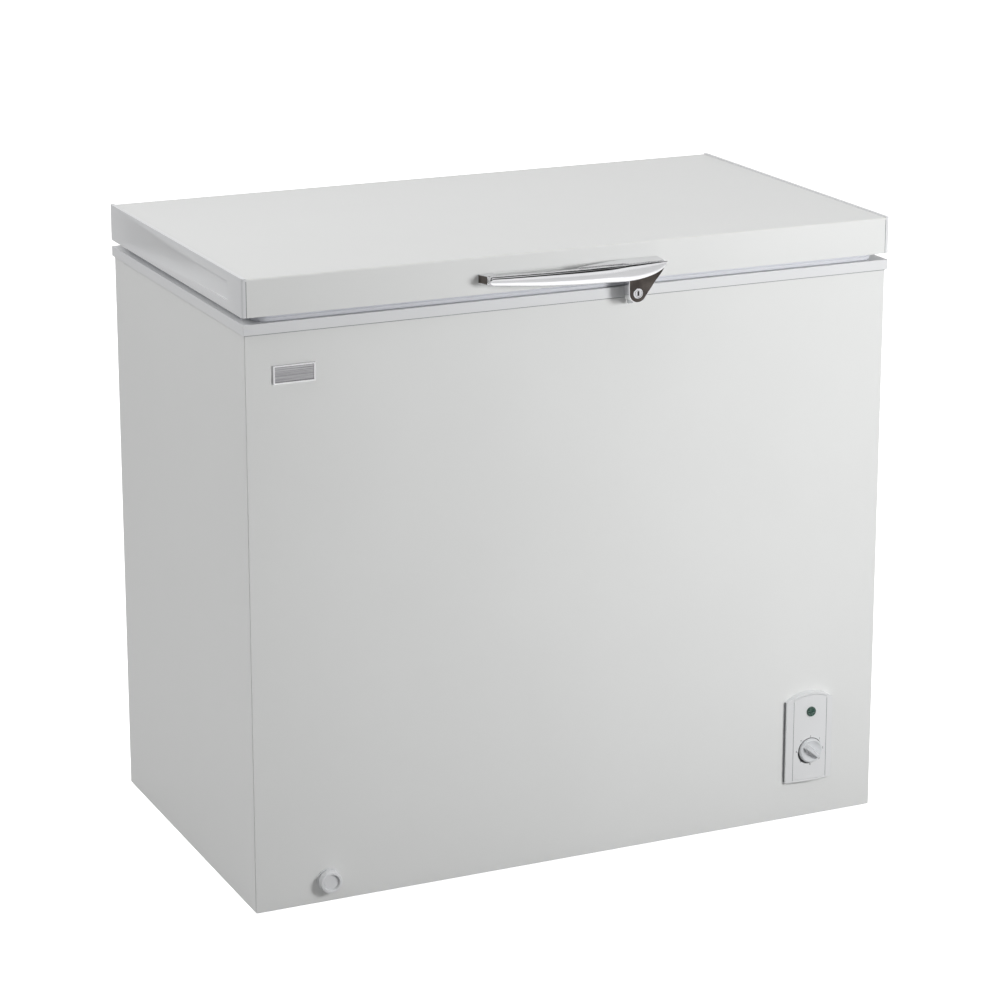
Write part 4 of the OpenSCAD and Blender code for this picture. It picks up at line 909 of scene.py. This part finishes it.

# --- lock ---
# The housing below the leaf is chromed, and its face is chrome painted dark as a painted reflection. A chromed
# barrel with a key slot turns in it and carries a steel cam that hooks behind the keeper.
softened("lock_housing", chrome, 0.0008, 3)
softened("lock_cam", zinc, 0.0003)
house_low, house_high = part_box("lock_housing")
barrel_low, barrel_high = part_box("lock_barrel")
lock_x, lock_z = (barrel_low.x + barrel_high.x) / 2, (barrel_low.z + barrel_high.z) / 2
round_end = 0.013
corner = [(round_end * math.cos(math.radians(a)), round_end * math.sin(math.radians(a)))
          for a in range(180, 331, 10)]
corner += [(0.025, 0.0136), (0.037, 0.0276), (0.041, 0.0371), (-0.013, 0.0371)]
barrel_hole, face_inset, face_sunk, face_proud = 0.0073, 0.0011, 0.0001, -0.0003
shell = bmesh.new()
rows = []
for k in range(144):
    a = math.radians(2.5 * k + 0.3)
    c, s, reach = math.cos(a), math.sin(a), 1.0
    for (x0, z0), (x1, z1) in zip(corner, corner[1:] + corner[:1]):
        cross = c * (z1 - z0) - s * (x1 - x0)
        if abs(cross) > 1e-9:
            t = (x0 * (z1 - z0) - z0 * (x1 - x0)) / cross
            along = (x0 * s - z0 * c) / cross
            if t > 0 and -1e-6 <= along <= 1 + 1e-6:
                reach = min(reach, t)
    face_edge = reach - face_inset
    rows.append([shell.verts.new((lock_x + r * c, house_low.y + d, lock_z + r * s)) for r, d in (
        (barrel_hole, face_sunk), (barrel_hole, face_proud), (face_edge, face_proud), (face_edge, face_sunk))])
for a, b in zip(rows, rows[1:] + rows[:1]):
    for m in range(4):
        n = (m + 1) % 4
        shell.faces.new((a[m], a[n], b[n], b[m]))
bmesh.ops.recalc_face_normals(shell, faces=shell.faces)
mesh = bpy.data.meshes.new("lock_face")
shell.to_mesh(mesh)
shell.free()
placed("lock_face", mesh, dark_reflection_chrome, body="lid")
front = barrel_low.y
placed("lock_barrel_made", turned("lock_barrel_made", lock_x, lock_z, [
    (0.003, barrel_high.y), (0.003, house_high.y - 0.001), (0.007, house_high.y - 0.001),
    (0.007, front + 0.0004), (0.0066, front), (0.0058, front), (0.0054, front + 0.001),
    (0.0046, front + 0.001), (0.0042, front + 0.0001), (0.0, front + 0.0001)], 48), chrome,
    ["lock_barrel"], sharp=30.0)
# The key slot is no opening: a black bar on the barrel's face is the slot's shade, painted.
slot_half_w, slot_half_h = 0.0013, 0.0032
bars("key_slot", black_plastic, [((lock_x - slot_half_w, front - 0.00005, lock_z - slot_half_h),
                                  (lock_x + slot_half_w, front + 0.0006, lock_z + slot_half_h))],
     "lock")

# --- floor, light and view ---
# A plain pale floor that glows most where the camera sees it and is dull to diffuse light. Soft boxes
# stand in front, at the left and overhead, and the sky adds a weak light that grows upwards.
sheet = bpy.data.meshes.new("floor")
sheet.from_pydata([(-40, -40, 0), (40, -40, 0), (40, 40, 0), (-40, 40, 0)], [], [(0, 1, 2, 3)])
ground = bpy.data.objects.new("floor", sheet)
bpy.context.collection.objects.link(ground)
pale = finish("pale_floor", tone(240, 240, 240), tone(242, 242, 242), (0.8, 0.9), 0.0001,
              sizes={"Fine": 40.0, "Broad": 1.0}, emission_color=(1, 1, 1, 1))
nodes, links = pale.node_tree.nodes, pale.node_tree.links
dull = nodes.new("ShaderNodeBsdfDiffuse")
dull.inputs["Color"].default_value = (0.3, 0.3, 0.3, 1)
ray, either = nodes.new("ShaderNodeLightPath"), nodes.new("ShaderNodeMixShader")
links.new(ray.outputs["Is Diffuse Ray"], either.inputs["Fac"])
links.new(nodes["Principled BSDF"].outputs["BSDF"], either.inputs[1])
links.new(dull.outputs["BSDF"], either.inputs[2])
seen = nodes.new("ShaderNodeMapRange")
glow_unseen, glow_seen = 0.35, 1.1
seen.inputs["To Min"].default_value, seen.inputs["To Max"].default_value = glow_unseen, glow_seen
links.new(ray.outputs["Is Camera Ray"], seen.inputs["Value"])
links.new(seen.outputs["Result"], nodes["Principled BSDF"].inputs["Emission Strength"])
links.new(either.outputs["Shader"], nodes["Material Output"].inputs["Surface"])
sheet.materials.append(pale)


def lamp(name, place, aim, size, power):
    """A square soft box that no camera sees."""
    box = bpy.data.lights.new(name, "AREA")
    box.size = size
    box.energy = power
    obj = bpy.data.objects.new(name, box)
    bpy.context.collection.objects.link(obj)
    obj.location = place
    obj.rotation_euler = (Vector(aim) - Vector(place)).to_track_quat("-Z", "Y").to_euler()
    obj.visible_camera = False
    obj.visible_glossy = False
    return obj


lamp("key", (1.04, -2.37, 1.2), (0.25, -0.26, 0.6), 0.5, 20.0)
lamp("near", (0.75, -1.6, 0.95), (0.25, -0.26, 0.6), 0.4, 8.0)
lamp("side", (-2.11, -0.26, 2.15), (-0.47, -0.1, 0.7), 1.0, 15.5)
lamp("overhead", (0.15, 0.1, 2.6), (0.05, 0.0, 0.87), 1.2, 5.0)
world = bpy.data.worlds.new("studio")
bpy.context.scene.world = world
world.use_nodes = True
sky = world.node_tree
direction = sky.nodes.new("ShaderNodeTexCoord")
lean = sky.nodes.new("ShaderNodeVectorMath")
lean.operation = "DOT_PRODUCT"
lean.inputs[1].default_value = (-0.08, 0.24, 0.42)
sky.links.new(direction.outputs["Generated"], lean.inputs[0])
level = sky.nodes.new("ShaderNodeMath")
level.inputs[1].default_value = 0.2
sky.links.new(lean.outputs["Value"], level.inputs[0])
soft = sky.nodes["Background"]
sky.links.new(level.outputs["Value"], soft.inputs["Strength"])
soft.inputs["Color"].default_value = (1, 1, 1, 1)
parts = sky.nodes.new("ShaderNodeSeparateXYZ")
sky.links.new(direction.outputs["Generated"], parts.inputs["Vector"])
bands = sky.nodes.new("ShaderNodeValToRGB")
bands.color_ramp.elements[0].position, bands.color_ramp.elements[1].position = 0.0, 0.5
bands.color_ramp.elements[0].color = bands.color_ramp.elements[1].color = (1.0, 1.0, 1.0, 1)
for place, shade in ((0.52, 0.9), (0.58, 0.03), (0.88, 0.03), (0.94, 0.8)):
    bands.color_ramp.elements.new(place).color = (shade, shade, shade, 1)
sky.links.new(parts.outputs["Z"], bands.inputs["Fac"])
mirrored = sky.nodes.new("ShaderNodeBackground")
sky.links.new(bands.outputs["Color"], mirrored.inputs["Color"])
plain = sky.nodes.new("ShaderNodeBackground")
plain.inputs["Color"].default_value = (1, 1, 1, 1)
ray = sky.nodes.new("ShaderNodeLightPath")
gloss_or_not, seen_or_not = (sky.nodes.new("ShaderNodeMixShader") for i in range(2))
sky.links.new(ray.outputs["Is Glossy Ray"], gloss_or_not.inputs["Fac"])
sky.links.new(soft.outputs["Background"], gloss_or_not.inputs[1])
sky.links.new(mirrored.outputs["Background"], gloss_or_not.inputs[2])
sky.links.new(ray.outputs["Is Camera Ray"], seen_or_not.inputs["Fac"])
sky.links.new(gloss_or_not.outputs["Shader"], seen_or_not.inputs[1])
sky.links.new(plain.outputs["Background"], seen_or_not.inputs[2])
sky.links.new(seen_or_not.outputs["Shader"], sky.nodes["World Output"].inputs["Surface"])
bpy.context.scene.view_settings.view_transform = "Standard"
